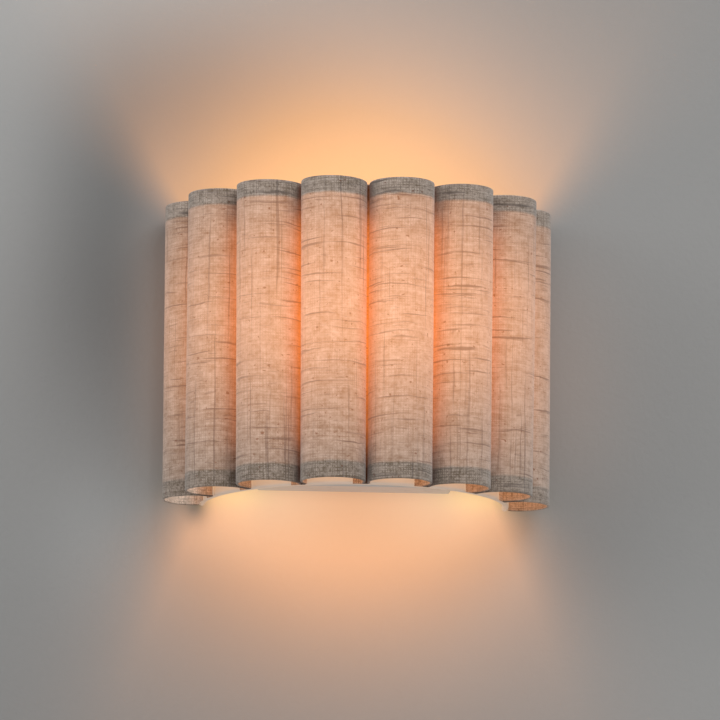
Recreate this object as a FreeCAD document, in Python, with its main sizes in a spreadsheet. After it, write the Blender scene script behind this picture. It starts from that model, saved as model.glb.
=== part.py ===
"""Wall light with a half-round shade of eight vertical linen flutes, as a parametric document.

Millimetres. The wall is the plane y = 0 and the light stands out of it towards -Y, with +X to the
right of someone who faces it and +Z up. The origin is the middle of the wall bracket's back face.
"""

import FreeCAD, Part
import math
import os
import Sketcher

VECTOR = FreeCAD.Vector
FLUTES = 8
HALF_PITCH = 90 / FLUTES

doc = FreeCAD.newDocument("fluted_wall_light")
sheet = doc.addObject("Spreadsheet::Sheet", "sizes")

SIZES = [
    # Shade: laminated linen flutes on a white liner
    ("shade_height", 205),
    ("liner_radius", 107),
    ("wall_gap", 3),
    ("flute_bulge", 10.6),
    ("flute_gap", 1.3),
    ("linen_thickness", 0.6),
    ("backing_thickness", 0.6),
    ("hem_width", 11),
    ("tab_width", 9.5),
    ("end_tab_width", 20),
    ("liner_thickness", 0.8),
    # Shade frame of wire hoops and flat strip
    ("hoop_wire", 3),
    ("strip_thickness", 1.5),
    ("upright_width", 12),
    ("hanger_height", 24),
    ("foot_inset", 25),
    ("foot_height", 12),
    ("foot_length", 14),
    ("bumper_diameter", 9),
    # Back box and the studs that the shade hangs on
    ("box_width", 134),
    ("box_depth", 26),
    ("box_inset", 12),
    ("box_wall", 1),
    ("box_corner", 2),
    ("stud_drop", 40.5),
    ("stud_depth", 14),
    ("neck_diameter", 5),
    ("head_diameter", 10),
    ("head_thickness", 1.6),
    ("running_gap", 0.5),
    ("seat_gap", 0.3),
    # Wall bracket
    ("bracket_length", 104),
    ("bracket_height", 26),
    ("bracket_thickness", 2),
    ("slot_spacing", 60),
    ("slot_width", 4.6),
    ("slot_length", 14),
    ("fixing_spacing", 88),
    ("thread_diameter", 4),
    ("hole_play", 0.2),
    ("nut_thickness", 3.2),
    ("nut_circumradius", 4.04),
    ("washer_diameter", 9),
    ("washer_thickness", 0.8),
    ("cap_nut_dome", 3.2),
    # Terminal block, earth point and cable entry to the holder
    ("block_length", 30),
    ("block_width", 18),
    ("block_depth", 13),
    ("block_drop", 46.5),
    ("pole_pitch", 10),
    ("pole_bore", 3.2),
    ("terminal_screw_diameter", 2.8),
    ("earth_offset", 14),
    ("tag_thickness", 1),
    ("wire_diameter", 2.0),
    ("grommet_rise", 15),
    ("grommet_bore", 6.4),
    ("grommet_neck", 10),
    ("grommet_flange", 14),
    ("grommet_lip", 1.8),
    # Lampholder and its arm
    ("lamp_axis", 62),
    ("arm_width", 25),
    ("arm_thickness", 2),
    ("arm_inset", 26.5),
    ("arm_rise", 26),
    ("arm_nose", 14),
    ("arm_bend", 1.5),
    ("arm_screw_spacing", 14),
    ("arm_screw_drop", 10),
    ("nipple_diameter", 10),
    ("nipple_bore", 7.5),
    ("nipple_length", 16),
    ("nipple_nut_circumradius", 8.1),
    ("nipple_nut_thickness", 3),
    ("locknut_circumradius", 7.2),
    ("locknut_thickness", 2.5),
    ("holder_diameter", 28),
    ("holder_wall", 2),
    ("base_height", 22),
    ("core_thickness", 14),
    ("shell_height", 30),
    ("screw_shell_bore", 14.5),
    ("screw_shell_wall", 0.5),
    ("screw_shell_height", 23),
    # Bulb
    ("cap_diameter", 13.8),
    ("cap_length", 17.9),
    ("collar_height", 26),
    ("globe_diameter", 45),
    ("globe_rise", 8),
]

for line, (alias, size) in enumerate(SIZES, start=1):
    sheet.set(f"A{line}", alias)
    sheet.set(f"B{line}", str(size))
    sheet.setAlias(f"B{line}", alias)
doc.recompute()

# Derived sizes, each an expression on the sheet
HALF_HEIGHT = "(sizes.shade_height / 2)"
FLUTE_CENTRE = f"(sizes.liner_radius * cos({HALF_PITCH}) + sizes.flute_bulge)"
LINEN_OUTSIDE = f"({FLUTE_CENTRE} * sin({HALF_PITCH}) - sizes.flute_gap / 2)"
BACKING_OUTSIDE = f"({LINEN_OUTSIDE} - sizes.linen_thickness)"
BACKING_INSIDE = f"({BACKING_OUTSIDE} - sizes.backing_thickness)"
HEM_INSIDE = f"({BACKING_INSIDE} - sizes.linen_thickness)"
BACKING_HEIGHT = "(sizes.shade_height - 2 * sizes.linen_thickness)"
LAMINATE = "(sizes.linen_thickness + sizes.backing_thickness)"
TAB_FACE = "(sizes.liner_radius + sizes.backing_thickness)"
BEAD = "(sizes.hoop_wire / 2 + sizes.liner_thickness)"
HOOP_RADIUS = f"(sizes.liner_radius - {BEAD})"
SHADE_BACK = "(-sizes.wall_gap)"
LINER_INSIDE = "(sizes.liner_radius - sizes.liner_thickness)"
UPRIGHT_OUTSIDE = f"(sqrt({LINER_INSIDE} ^ 2 - sizes.upright_width ^ 2) - 0.05)"
UPRIGHT_INSIDE = f"({UPRIGHT_OUTSIDE} - sizes.strip_thickness)"
BOX_HEIGHT = "(sizes.shade_height - 2 * sizes.box_inset)"
BOX_SIDE = "(sizes.box_width / 2)"
BOX_FACE = "(-sizes.box_depth)"
HANGER_INSIDE = f"({BOX_SIDE} + sizes.running_gap)"
NECK_LENGTH = "(sizes.strip_thickness + 2 * sizes.running_gap)"
STUD_LEVEL = f"({BOX_HEIGHT} / 2 - sizes.stud_drop)"
BLOCK_LEVEL = f"({BOX_HEIGHT} / 2 - sizes.block_drop)"
GROMMET_LEVEL = f"(sizes.grommet_rise - {BOX_HEIGHT} / 2)"
ARM_TOP = f"(sizes.arm_inset - {BOX_HEIGHT} / 2)"
ARM_UNDERSIDE = f"({ARM_TOP} - sizes.arm_thickness)"
HOLDER_RADIUS = "(sizes.holder_diameter / 2)"
HOLDER_BORE = f"({HOLDER_RADIUS} - sizes.holder_wall)"
BASE_TOP = f"({ARM_TOP} + sizes.base_height)"
CORE_TOP = f"({BASE_TOP} + 4)"
CORE_SEAT = f"({CORE_TOP} - sizes.core_thickness)"
SHELL_TOP = f"({BASE_TOP} + sizes.shell_height)"
CAP_TOP = f"({SHELL_TOP} + sizes.running_gap)"
CAP_FOOT = f"({CAP_TOP} - sizes.cap_length)"
COLLAR_TOP = f"({CAP_TOP} + sizes.collar_height)"


def number(expression):
    """Value of an expression on the sheet, as a plain number."""
    result = sheet.evalExpression(expression)
    return float(getattr(result, "Value", result))


def bind(item, **expressions):
    """Bind properties to expressions on the sheet; two underscores stand for a dot."""
    for name, expression in expressions.items():
        item.setExpression(name.replace("__", "."), expression)
    return item


def place(item, x="0", y="0", z="0", axis=None, angle=None):
    """Bind a placement, with a turn of a given angle about an axis."""
    if axis is not None:
        item.Placement = FreeCAD.Placement(VECTOR(), FreeCAD.Rotation(axis, 30))
        item.setExpression("Placement.Rotation.Angle", angle)
    return bind(item, Placement__Base__x=x, Placement__Base__y=y, Placement__Base__z=z)


X_AXIS = VECTOR(1, 0, 0)
Y_AXIS = VECTOR(0, 1, 0)
Z_AXIS = VECTOR(0, 0, 1)
TOWARDS = {
    "front": (X_AXIS, "90"),
    "wall": (X_AXIS, "-90"),
    "right": (Y_AXIS, "90"),
    "left": (Y_AXIS, "-90"),
    "up": (Z_AXIS, "0"),
}


def add(kind, label):
    """New document object with a label."""
    item = doc.addObject(kind, label)
    item.Label = label
    return item


def cylinder(label, radius, height, bottom="0", x="0", y="0", start=None, sweep=None):
    """Upright cylinder, or a sector of one from a start angle through a sweep."""
    item = add("Part::Cylinder", label)
    bind(item, Radius=radius, Height=height)
    if sweep is None:
        return place(item, x, y, bottom)
    bind(item, Angle=sweep)
    return place(item, x, y, bottom, Z_AXIS, start)


def cut(label, base, tool):
    """One shape less another."""
    item = add("Part::Cut", label)
    item.Base = base
    item.Tool = tool
    return item


def fuse(label, shapes):
    """Several shapes made one solid."""
    item = add("Part::MultiFuse", label)
    item.Shapes = shapes
    item.Refine = True
    return item


def group(label, shapes):
    """Separate solids kept together in one node."""
    item = add("Part::Compound", label)
    item.Links = shapes
    return item


def stack(label, direction, x, y, z, sections, bore=None):
    """Round and hexagonal sections along one axis, from a point towards a direction.

    A section is (kind, radius, start, length), and a bore is (radius, start, length). A lone
    section starts at the point itself.
    """
    pieces = []
    for index, (kind, radius, start, length) in enumerate(sections):
        name = f"{label}_section_{index}"
        if kind == "dome":
            piece = place(bind(add("Part::Sphere", name), Radius=radius), z=start)
        elif kind == "hexagon":
            piece = bind(add("Part::Prism", name), Circumradius=radius, Height=length)
            piece.Polygon = 6
            place(piece, z=start)
        elif kind == "taper":
            piece = bind(add("Part::Cone", name), Radius1=radius[0], Radius2=radius[1], Height=length)
            place(piece, z=start)
        else:
            piece = cylinder(name, radius, length, start)
        pieces.append(piece)
    solid = pieces[0] if len(pieces) == 1 else fuse(f"{label}_outside", pieces)
    if bore is not None:
        radius, start, length = bore
        solid = cut(label, solid, cylinder(f"{label}_bore", radius, length, start))
    solid.Label = label
    return place(solid, x, y, z, *TOWARDS[direction])


def body(label):
    """New solid body."""
    return add("PartDesign::Body", label)


def sketch_on(owner, role, name, offset="0"):
    """Sketch on one of a body's own planes, moved along the plane's normal."""
    sketch = owner.newObject("Sketcher::SketchObject", name)
    plane = next(item for item in owner.Origin.OriginFeatures if item.Role == role)
    sketch.AttachmentSupport = [(plane, "")]
    sketch.MapMode = "FlatFace"
    bind(sketch, AttachmentOffset__Base__z=offset)
    return sketch


def hold(sketch, kind, geometry, vertex, expression):
    """Hold one coordinate of a sketch point at an expression."""
    if expression == "0":
        axis = -2 if kind == "DistanceX" else -1
        sketch.addConstraint(Sketcher.Constraint("PointOnObject", geometry, vertex, axis))
        return
    amount = number(expression)
    made = sketch.addConstraint(Sketcher.Constraint(kind, -1, 1, geometry, vertex, amount))
    sketch.setExpression(f"Constraints[{made}]", expression)


def outline(sketch, points, arcs=()):
    """Closed outline through points; arcs gives the centre and turn of the sides that are arcs."""
    arcs = dict(arcs)
    places = [VECTOR(number(x), number(y), 0) for x, y in points]
    ends = []
    for side, start in enumerate(places):
        finish = places[(side + 1) % len(places)]
        if side not in arcs:
            sketch.addGeometry(Part.LineSegment(start, finish), False)
            ends.append((1, 2))
            continue
        centre, turn = arcs[side]
        middle = VECTOR(number(centre[0]), number(centre[1]), 0)
        first, last = (start, finish) if turn > 0 else (finish, start)
        begin = math.atan2(first.y - middle.y, first.x - middle.x)
        stop = math.atan2(last.y - middle.y, last.x - middle.x)
        if stop <= begin:
            stop += 2 * math.pi
        circle = Part.Circle(middle, Z_AXIS, start.distanceToPoint(middle))
        sketch.addGeometry(Part.ArcOfCircle(circle, begin, stop), False)
        ends.append((1, 2) if turn > 0 else (2, 1))
    for side, (_, stop) in enumerate(ends):
        following = (side + 1) % len(ends)
        sketch.addConstraint(Sketcher.Constraint("Coincident", side, stop, following, ends[following][0]))
    for side, (x, y) in enumerate(points):
        hold(sketch, "DistanceX", side, ends[side][0], x)
        hold(sketch, "DistanceY", side, ends[side][0], y)
    for side, (centre, turn) in arcs.items():
        chord = places[(side + 1) % len(places)] - places[side]
        kind, coordinate = ("DistanceY", 1) if abs(chord.x) > abs(chord.y) else ("DistanceX", 0)
        hold(sketch, kind, side, 3, centre[coordinate])
    return sketch


def rectangle(sketch, left, right, low, high):
    """Rectangle between two columns and two rows."""
    return outline(sketch, [(left, low), (right, low), (right, high), (left, high)])


def circles(sketch, centres, radius):
    """Circles of one radius at given centres."""
    for index, (x, y) in enumerate(centres):
        middle = VECTOR(number(x), number(y), 0)
        sketch.addGeometry(Part.Circle(middle, Z_AXIS, number(radius)), False)
        hold(sketch, "DistanceX", index, 3, x)
        hold(sketch, "DistanceY", index, 3, y)
        made = sketch.addConstraint(Sketcher.Constraint("Radius", index, number(radius)))
        sketch.setExpression(f"Constraints[{made}]", radius)
    return sketch


def pad(owner, sketch, length, both_ways=False):
    """Pad along the sketch's normal, or half each way."""
    feature = owner.newObject("PartDesign::Pad", f"{owner.Name}_pad")
    feature.Profile = sketch
    feature.SideType = "Symmetric" if both_ways else "One side"
    return bind(feature, Length=length)


def pocket(owner, sketch, length=None, along_normal=False):
    """Pocket of a length, or through everything both ways."""
    feature = owner.newObject("PartDesign::Pocket", f"{owner.Name}_pocket")
    feature.Profile = sketch
    if length is None:
        feature.Type = "ThroughAll"
        feature.SideType = "Symmetric"
        return feature
    feature.Reversed = along_normal
    return bind(feature, Length=length)


def turned(label, points, arcs=(), x="0", y="-sizes.lamp_axis"):
    """Body of revolution about an upright axis, from (radius, level) points."""
    owner = body(label)
    sketch = sketch_on(owner, "XZ_Plane", f"{label}_profile")
    outline(sketch, points, arcs)
    feature = owner.newObject("PartDesign::Revolution", f"{label}_turn")
    feature.Profile = sketch
    feature.ReferenceAxis = (sketch, ["V_Axis"])
    feature.Angle = 360
    return place(owner, x, y)


nodes = []


def keep(item):
    """Count an object among the sub-parts that are written."""
    nodes.append(item)
    return item


# Linen flutes on their white backing, drawn as the front one and turned into place about the
# shade's upright axis. Each flute is a nearly closed tube whose two long edges stand on the liner.
# Its left edge turns on to the liner as a glued tab, and the flute before it stands on that tab.

def flute_angle(radius, level):
    """Angle from a flute's middle to where a circle of its tube crosses a level round the liner."""
    cosine = f"({level} ^ 2 + {FLUTE_CENTRE} ^ 2 - {radius} ^ 2) / (2 * {level} * {FLUTE_CENTRE})"
    return f"(acos({cosine}) / 1 deg)"


def arc_angle(width):
    """Angle round the shade's axis that a width takes up on the liner."""
    return f"({width} / sizes.liner_radius * 180 / pi)"


FLUTE_Y = f"(-{FLUTE_CENTRE})"
TRIM_HEIGHT = "(sizes.shade_height + 4)"
TRIM_FOOT = f"(-{HALF_HEIGHT} - 2)"
SHADE_FOOT = f"(-{HALF_HEIGHT})"
BACKING_FOOT = f"({SHADE_FOOT} + sizes.linen_thickness)"
VOID_HEIGHT = "(sizes.shade_height - 2 * sizes.hem_width)"
VOID_FOOT = f"({SHADE_FOOT} + sizes.hem_width)"
FLUTE_SIDE = "60"

backing_tube = cut(
    "backing_tube",
    cylinder("backing_outside", BACKING_OUTSIDE, BACKING_HEIGHT, BACKING_FOOT, y=FLUTE_Y),
    cylinder("backing_inside", BACKING_INSIDE, TRIM_HEIGHT, TRIM_FOOT, y=FLUTE_Y),
)
linen_tube = cut(
    "linen_tube",
    cylinder("linen_outside", LINEN_OUTSIDE, "sizes.shade_height", SHADE_FOOT, y=FLUTE_Y),
    fuse("linen_inside", [
        cylinder("hem_inside", HEM_INSIDE, TRIM_HEIGHT, TRIM_FOOT, y=FLUTE_Y),
        cylinder("between_hems", BACKING_INSIDE, VOID_HEIGHT, VOID_FOOT, y=FLUTE_Y),
    ]),
)
linen_skin = cut("linen_skin", linen_tube, backing_tube)

liner_space = cylinder("liner_space", "sizes.liner_radius", TRIM_HEIGHT, TRIM_FOOT)
tab_space = cylinder("tab_space", TAB_FACE, TRIM_HEIGHT, TRIM_FOOT)
next_tab_space = cylinder("next_tab_space", f"(sizes.liner_radius + {LAMINATE})", TRIM_HEIGHT, TRIM_FOOT,
                          start="-90", sweep=FLUTE_SIDE)
backing_wall = cut("backing_wall", backing_tube, fuse("backing_trim", [liner_space, next_tab_space]))
backing_wall_end = cut("backing_wall_end", backing_tube, liner_space)
linen_wall = cut("linen_wall", linen_skin, fuse("linen_trim", [tab_space, next_tab_space]))
linen_wall_end = cut("linen_wall_end", linen_skin, tab_space)


def tab(label, radius, width, inwards):
    """Glued tab of one flute: its backing on the liner, and the linen over it."""
    sweep = arc_angle(width)
    backing_edge = flute_angle(f"(({BACKING_OUTSIDE} + {BACKING_INSIDE}) / 2)", "sizes.liner_radius")
    linen_edge = flute_angle(radius, TAB_FACE)
    backing_start = f"(-90 - {backing_edge})" if inwards else f"(-90 - {backing_edge} - {sweep})"
    linen_start = f"(-90 - {linen_edge})" if inwards else f"(-90 - {linen_edge} - {sweep})"
    backing_tab = cut(
        f"backing_{label}",
        cylinder(f"backing_{label}_face", TAB_FACE, BACKING_HEIGHT, BACKING_FOOT,
                 start=backing_start, sweep=sweep),
        liner_space,
    )
    linen_tab = cut(
        f"linen_{label}",
        cylinder(f"linen_{label}_face", f"(sizes.liner_radius + {LAMINATE})", "sizes.shade_height",
                 SHADE_FOOT, start=linen_start, sweep=sweep),
        tab_space,
    )
    return backing_tab, linen_tab


LINEN_MIDDLE = f"({LINEN_OUTSIDE} - sizes.linen_thickness / 2)"
HEM_MIDDLE = f"({BACKING_INSIDE} - sizes.linen_thickness / 2)"
side_tab = tab("side_tab", LINEN_MIDDLE, "sizes.tab_width", False)
end_tab = tab("end_tab", HEM_MIDDLE, "sizes.end_tab_width", True)

for flute in range(1, FLUTES + 1):
    turn = f"{-90 + HALF_PITCH * (2 * flute - 1)}"
    tabs = end_tab if flute == 1 else side_tab
    walls = (backing_wall_end, linen_wall_end) if flute == FLUTES else (backing_wall, linen_wall)
    for name, wall, tab_piece in zip(("flute_backing", "linen_flute"), walls, tabs):
        piece = fuse(f"{name}_{flute}", [wall, tab_piece])
        keep(place(piece, y=SHADE_BACK, axis=Z_AXIS, angle=turn))

# White liner, half round, with its two long edges rolled inwards over the wire hoops

liner = keep(body("shade_liner"))
liner_profile = sketch_on(liner, "XZ_Plane", "liner_profile")
ROLL_LEVEL = f"({HALF_HEIGHT} - {BEAD})"
WIRE_RADIUS = "(sizes.hoop_wire / 2)"
outline(
    liner_profile,
    [
        ("sizes.liner_radius", f"-{ROLL_LEVEL}"),
        ("sizes.liner_radius", ROLL_LEVEL),
        (HOOP_RADIUS, f"({ROLL_LEVEL} - {BEAD})"),
        (HOOP_RADIUS, f"({ROLL_LEVEL} - {WIRE_RADIUS})"),
        (LINER_INSIDE, ROLL_LEVEL),
        (LINER_INSIDE, f"-{ROLL_LEVEL}"),
        (HOOP_RADIUS, f"-({ROLL_LEVEL} - {WIRE_RADIUS})"),
        (HOOP_RADIUS, f"-({ROLL_LEVEL} - {BEAD})"),
    ],
    {
        1: ((HOOP_RADIUS, ROLL_LEVEL), 1),
        3: ((HOOP_RADIUS, ROLL_LEVEL), -1),
        5: ((HOOP_RADIUS, f"-{ROLL_LEVEL}"), -1),
        7: ((HOOP_RADIUS, f"-{ROLL_LEVEL}"), 1),
    },
)
liner_turn = liner.newObject("PartDesign::Revolution", "liner_turn")
liner_turn.Profile = liner_profile
liner_turn.ReferenceAxis = (liner_profile, ["V_Axis"])
liner_turn.Angle = 180
liner_turn.Reversed = True
place(liner, y=SHADE_BACK)

# Shade frame: two half hoops of wire, two strip uprights inside the liner's ends, a hanger on each
# upright with a hook that is open downwards, and a foot with a rubber bumper near each lower end

for name, level in (("top_hoop", ROLL_LEVEL), ("bottom_hoop", f"-{ROLL_LEVEL}")):
    hoop = keep(add("Part::Torus", name))
    bind(hoop, Radius1=HOOP_RADIUS, Radius2=WIRE_RADIUS)
    hoop.Angle3 = 180
    place(hoop, y=SHADE_BACK, z=level, axis=Z_AXIS, angle="180")

FRAME_BACK = SHADE_BACK
FRAME_FRONT = f"({FRAME_BACK} - sizes.upright_width)"
STRIP_FRONT = f"({FRAME_BACK} - sizes.strip_thickness)"
HOOK_FRONT = "(-sizes.stud_depth - sizes.head_diameter / 2 - 3)"
UPRIGHT_HEIGHT = f"(sizes.shade_height - 4 * {BEAD})"
FOOT_LEVEL = f"({SHADE_FOOT} + sizes.foot_inset)"
SLOT_RADIUS = "(sizes.neck_diameter / 2 + sizes.seat_gap)"
HOOK_FOOT = f"({STUD_LEVEL} - sizes.hanger_height / 2 - 1)"

for side, sign in (("left", "-"), ("right", "")):
    upright = keep(add("Part::Box", f"upright_{side}"))
    bind(upright, Length="sizes.strip_thickness", Width="sizes.upright_width", Height=UPRIGHT_HEIGHT)
    corner = f"-{UPRIGHT_OUTSIDE}" if sign else UPRIGHT_INSIDE
    place(upright, corner, FRAME_FRONT, f"(-{UPRIGHT_HEIGHT} / 2)")

    hanger = keep(body(f"hanger_{side}"))
    plan = sketch_on(hanger, "XY_Plane", f"hanger_{side}_plan", STUD_LEVEL)
    outline(plan, [
        (f"{sign}{HANGER_INSIDE}", FRAME_BACK),
        (f"{sign}{UPRIGHT_INSIDE}", FRAME_BACK),
        (f"{sign}{UPRIGHT_INSIDE}", FRAME_FRONT),
        (f"{sign}({UPRIGHT_INSIDE} - sizes.strip_thickness)", FRAME_FRONT),
        (f"{sign}({UPRIGHT_INSIDE} - sizes.strip_thickness)", STRIP_FRONT),
        (f"{sign}({HANGER_INSIDE} + sizes.strip_thickness)", STRIP_FRONT),
        (f"{sign}({HANGER_INSIDE} + sizes.strip_thickness)", HOOK_FRONT),
        (f"{sign}{HANGER_INSIDE}", HOOK_FRONT),
    ])
    pad(hanger, plan, "sizes.hanger_height", both_ways=True)
    hook = sketch_on(hanger, "YZ_Plane", f"hanger_{side}_hook", f"{sign}{BOX_SIDE}")
    outline(
        hook,
        [
            (f"(-sizes.stud_depth - {SLOT_RADIUS})", HOOK_FOOT),
            (f"(-sizes.stud_depth + {SLOT_RADIUS})", HOOK_FOOT),
            (f"(-sizes.stud_depth + {SLOT_RADIUS})", STUD_LEVEL),
            (f"(-sizes.stud_depth - {SLOT_RADIUS})", STUD_LEVEL),
        ],
        {2: (("-sizes.stud_depth", STUD_LEVEL), 1)},
    )
    pocket(hanger, hook, NECK_LENGTH, along_normal=not sign)

    foot = keep(body(f"foot_{side}"))
    plan = sketch_on(foot, "XY_Plane", f"foot_{side}_plan", FOOT_LEVEL)
    outline(plan, [
        (f"{sign}({UPRIGHT_INSIDE} - sizes.foot_length)", FRAME_BACK),
        (f"{sign}{UPRIGHT_INSIDE}", FRAME_BACK),
        (f"{sign}{UPRIGHT_INSIDE}", FRAME_FRONT),
        (f"{sign}({UPRIGHT_INSIDE} - sizes.strip_thickness)", FRAME_FRONT),
        (f"{sign}({UPRIGHT_INSIDE} - sizes.strip_thickness)", STRIP_FRONT),
        (f"{sign}({UPRIGHT_INSIDE} - sizes.foot_length)", STRIP_FRONT),
    ])
    pad(foot, plan, "sizes.foot_height", both_ways=True)

    bumper_x = f"{sign}({UPRIGHT_INSIDE} - sizes.foot_length / 2 - sizes.strip_thickness / 2)"
    bumper_radius = "sizes.bumper_diameter / 2"
    keep(stack(f"bumper_{side}", "wall", bumper_x, FRAME_BACK, FOOT_LEVEL, [
        ("taper", (bumper_radius, f"{bumper_radius} - 0.8"), "0", "sizes.wall_gap - sizes.seat_gap"),
    ]))

# Wall bracket: a flat strap with two slots for the wall screws and two threaded studs for the box

bracket = keep(body("wall_bracket"))
strap = sketch_on(bracket, "XZ_Plane", "strap")
rectangle(strap, "-sizes.bracket_length / 2", "sizes.bracket_length / 2",
          "-sizes.bracket_height / 2", "sizes.bracket_height / 2")
pad(bracket, strap, "sizes.bracket_thickness")
for side, sign in (("left", "-"), ("right", "")):
    slot = sketch_on(bracket, "XZ_Plane", f"slot_{side}")
    inner = f"({sign}sizes.slot_spacing / 2 - (sizes.slot_length - sizes.slot_width) / 2)"
    outer = f"({sign}sizes.slot_spacing / 2 + (sizes.slot_length - sizes.slot_width) / 2)"
    edge = "sizes.slot_width / 2"
    outline(
        slot,
        [(inner, f"-{edge}"), (outer, f"-{edge}"), (outer, edge), (inner, edge)],
        {1: ((outer, "0"), 1), 3: ((inner, "0"), 1)},
    )
    pocket(bracket, slot)
bracket_holes = sketch_on(bracket, "XZ_Plane", "bracket_holes")
circles(
    bracket_holes,
    [("-sizes.fixing_spacing / 2", "0"), ("sizes.fixing_spacing / 2", "0"), ("sizes.earth_offset", "0")],
    "sizes.thread_diameter / 2",
)
pocket(bracket, bracket_holes)

# Back box: a folded steel tray, open to the wall, with every hole that its fittings need

box = keep(body("back_box"))
tray = sketch_on(box, "XZ_Plane", "tray")
rectangle(tray, f"-{BOX_SIDE}", BOX_SIDE, f"-{BOX_HEIGHT} / 2", f"{BOX_HEIGHT} / 2")
tray_pad = pad(box, tray, "sizes.box_depth")
doc.recompute()
folds = [
    f"Edge{index}"
    for index, edge in enumerate(tray_pad.Shape.Edges, start=1)
    if edge.BoundBox.YMin < -1
]
rounding = box.newObject("PartDesign::Fillet", "tray_folds")
rounding.Base = (tray_pad, folds)
bind(rounding, Radius="sizes.box_corner")
hollow = sketch_on(box, "XZ_Plane", "tray_hollow")
rectangle(hollow, f"-({BOX_SIDE} - sizes.box_wall)", f"({BOX_SIDE} - sizes.box_wall)",
          f"-({BOX_HEIGHT} / 2 - sizes.box_wall)", f"({BOX_HEIGHT} / 2 - sizes.box_wall)")
pocket(box, hollow, "sizes.box_depth - sizes.box_wall", along_normal=True)
ARM_SCREW_LEVEL = f"({ARM_UNDERSIDE} + sizes.arm_rise - sizes.arm_screw_drop)"
THREAD_HOLE = "(sizes.thread_diameter / 2 + sizes.hole_play)"
face_holes = sketch_on(box, "XZ_Plane", "face_holes")
circles(
    face_holes,
    [
        ("-sizes.fixing_spacing / 2", "0"),
        ("sizes.fixing_spacing / 2", "0"),
        ("-sizes.arm_screw_spacing / 2", ARM_SCREW_LEVEL),
        ("sizes.arm_screw_spacing / 2", ARM_SCREW_LEVEL),
    ],
    THREAD_HOLE,
)
pocket(box, face_holes)
block_hole = sketch_on(box, "XZ_Plane", "block_hole")
circles(block_hole, [("sizes.pole_pitch / 2", BLOCK_LEVEL)], "sizes.pole_bore / 2")
pocket(box, block_hole)
wire_hole = sketch_on(box, "XZ_Plane", "wire_hole")
circles(wire_hole, [("0", GROMMET_LEVEL)], "sizes.grommet_neck / 2")
pocket(box, wire_hole)
side_holes = sketch_on(box, "YZ_Plane", "side_holes")
circles(side_holes, [("-sizes.stud_depth", STUD_LEVEL)], THREAD_HOLE)
pocket(box, side_holes)

# Threaded studs in the bracket, and the washers and domed nuts that hold the box on them

THREAD = "(sizes.thread_diameter / 2)"
WASHER_FACE = f"({BOX_FACE} - sizes.washer_thickness)"
STUD_LENGTH = "(sizes.box_depth + sizes.washer_thickness + sizes.nut_thickness + 1)"
fixings = {"fixing_studs": [], "cap_nut_washers": [], "cap_nuts": []}
for side, sign in (("left", "-"), ("right", "")):
    x = f"{sign}sizes.fixing_spacing / 2"
    fixings["fixing_studs"].append(stack(
        f"fixing_stud_{side}", "front", x, "0", "0", [("round", THREAD, "0", STUD_LENGTH)]))
    fixings["cap_nut_washers"].append(stack(
        f"cap_nut_washer_{side}", "front", x, BOX_FACE, "0",
        [("round", "sizes.washer_diameter / 2", "0", "sizes.washer_thickness")],
        (THREAD, "-1", "sizes.washer_thickness + 2")))
    fixings["cap_nuts"].append(stack(
        f"cap_nut_{side}", "front", x, WASHER_FACE, "0",
        [
            ("hexagon", "sizes.nut_circumradius", "0", "sizes.nut_thickness"),
            ("dome", "sizes.cap_nut_dome", "sizes.nut_thickness", "0"),
        ],
        (THREAD, "-1 - sizes.cap_nut_dome", "sizes.nut_thickness + sizes.cap_nut_dome + 2")))
for name, pieces in fixings.items():
    keep(group(name, pieces))

# Shoulder studs on the box's sides, which carry the shade, and their nuts inside the box

stud_nuts = []
for side, sign in (("left", "-"), ("right", "")):
    keep(stack(
        f"shade_stud_{side}", side, f"{sign}{BOX_SIDE}", "-sizes.stud_depth", STUD_LEVEL,
        [
            ("round", THREAD, "-sizes.box_wall - sizes.nut_thickness - 1",
             "sizes.box_wall + sizes.nut_thickness + 1"),
            ("round", "sizes.neck_diameter / 2", "0", NECK_LENGTH),
            ("round", "sizes.head_diameter / 2", NECK_LENGTH, "sizes.head_thickness / 2"),
            ("taper", ("sizes.head_diameter / 2", "sizes.head_diameter / 2 - 1"),
             f"({NECK_LENGTH} + sizes.head_thickness / 2)", "sizes.head_thickness / 2"),
        ]))
    stud_nuts.append(stack(
        f"stud_nut_{side}", side, f"{sign}({BOX_SIDE} - sizes.box_wall - sizes.nut_thickness)",
        "-sizes.stud_depth", STUD_LEVEL,
        [("hexagon", "sizes.nut_circumradius", "0", "sizes.nut_thickness")],
        (THREAD, "-1", "sizes.nut_thickness + 2")))
keep(group("shade_stud_nuts", stud_nuts))

# Terminal block of three poles behind the box's face, with its screws facing the wall

BLOCK_FRONT = f"({BOX_FACE} + sizes.box_wall)"
BLOCK_BACK = f"({BLOCK_FRONT} + sizes.block_depth)"
BLOCK_MIDDLE = f"({BLOCK_FRONT} + sizes.block_depth / 2)"
BLOCK_FOOT = f"({BLOCK_LEVEL} - sizes.block_width / 2)"
BLOCK_HEAD = f"({BLOCK_LEVEL} + sizes.block_width / 2)"
POLES = ("-sizes.pole_pitch", "0", "sizes.pole_pitch")
SCREW_BORE = "(sizes.terminal_screw_diameter / 2 + sizes.hole_play / 2)"
block = keep(body("terminal_block"))
block_face = sketch_on(block, "XZ_Plane", "block_face", f"-{BLOCK_BACK}")
rectangle(block_face, "-sizes.block_length / 2", "sizes.block_length / 2",
          BLOCK_FOOT, BLOCK_HEAD)
pad(block, block_face, "sizes.block_depth")
wire_bores = sketch_on(block, "XY_Plane", "wire_bores")
circles(wire_bores, [(pole, BLOCK_MIDDLE) for pole in POLES], "sizes.pole_bore / 2")
pocket(block, wire_bores)
SCREW_ROWS = (f"({BLOCK_LEVEL} - sizes.block_width / 4)", f"({BLOCK_LEVEL} + sizes.block_width / 4)")
screw_bores = sketch_on(block, "XZ_Plane", "screw_bores", f"-{BLOCK_BACK}")
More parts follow.
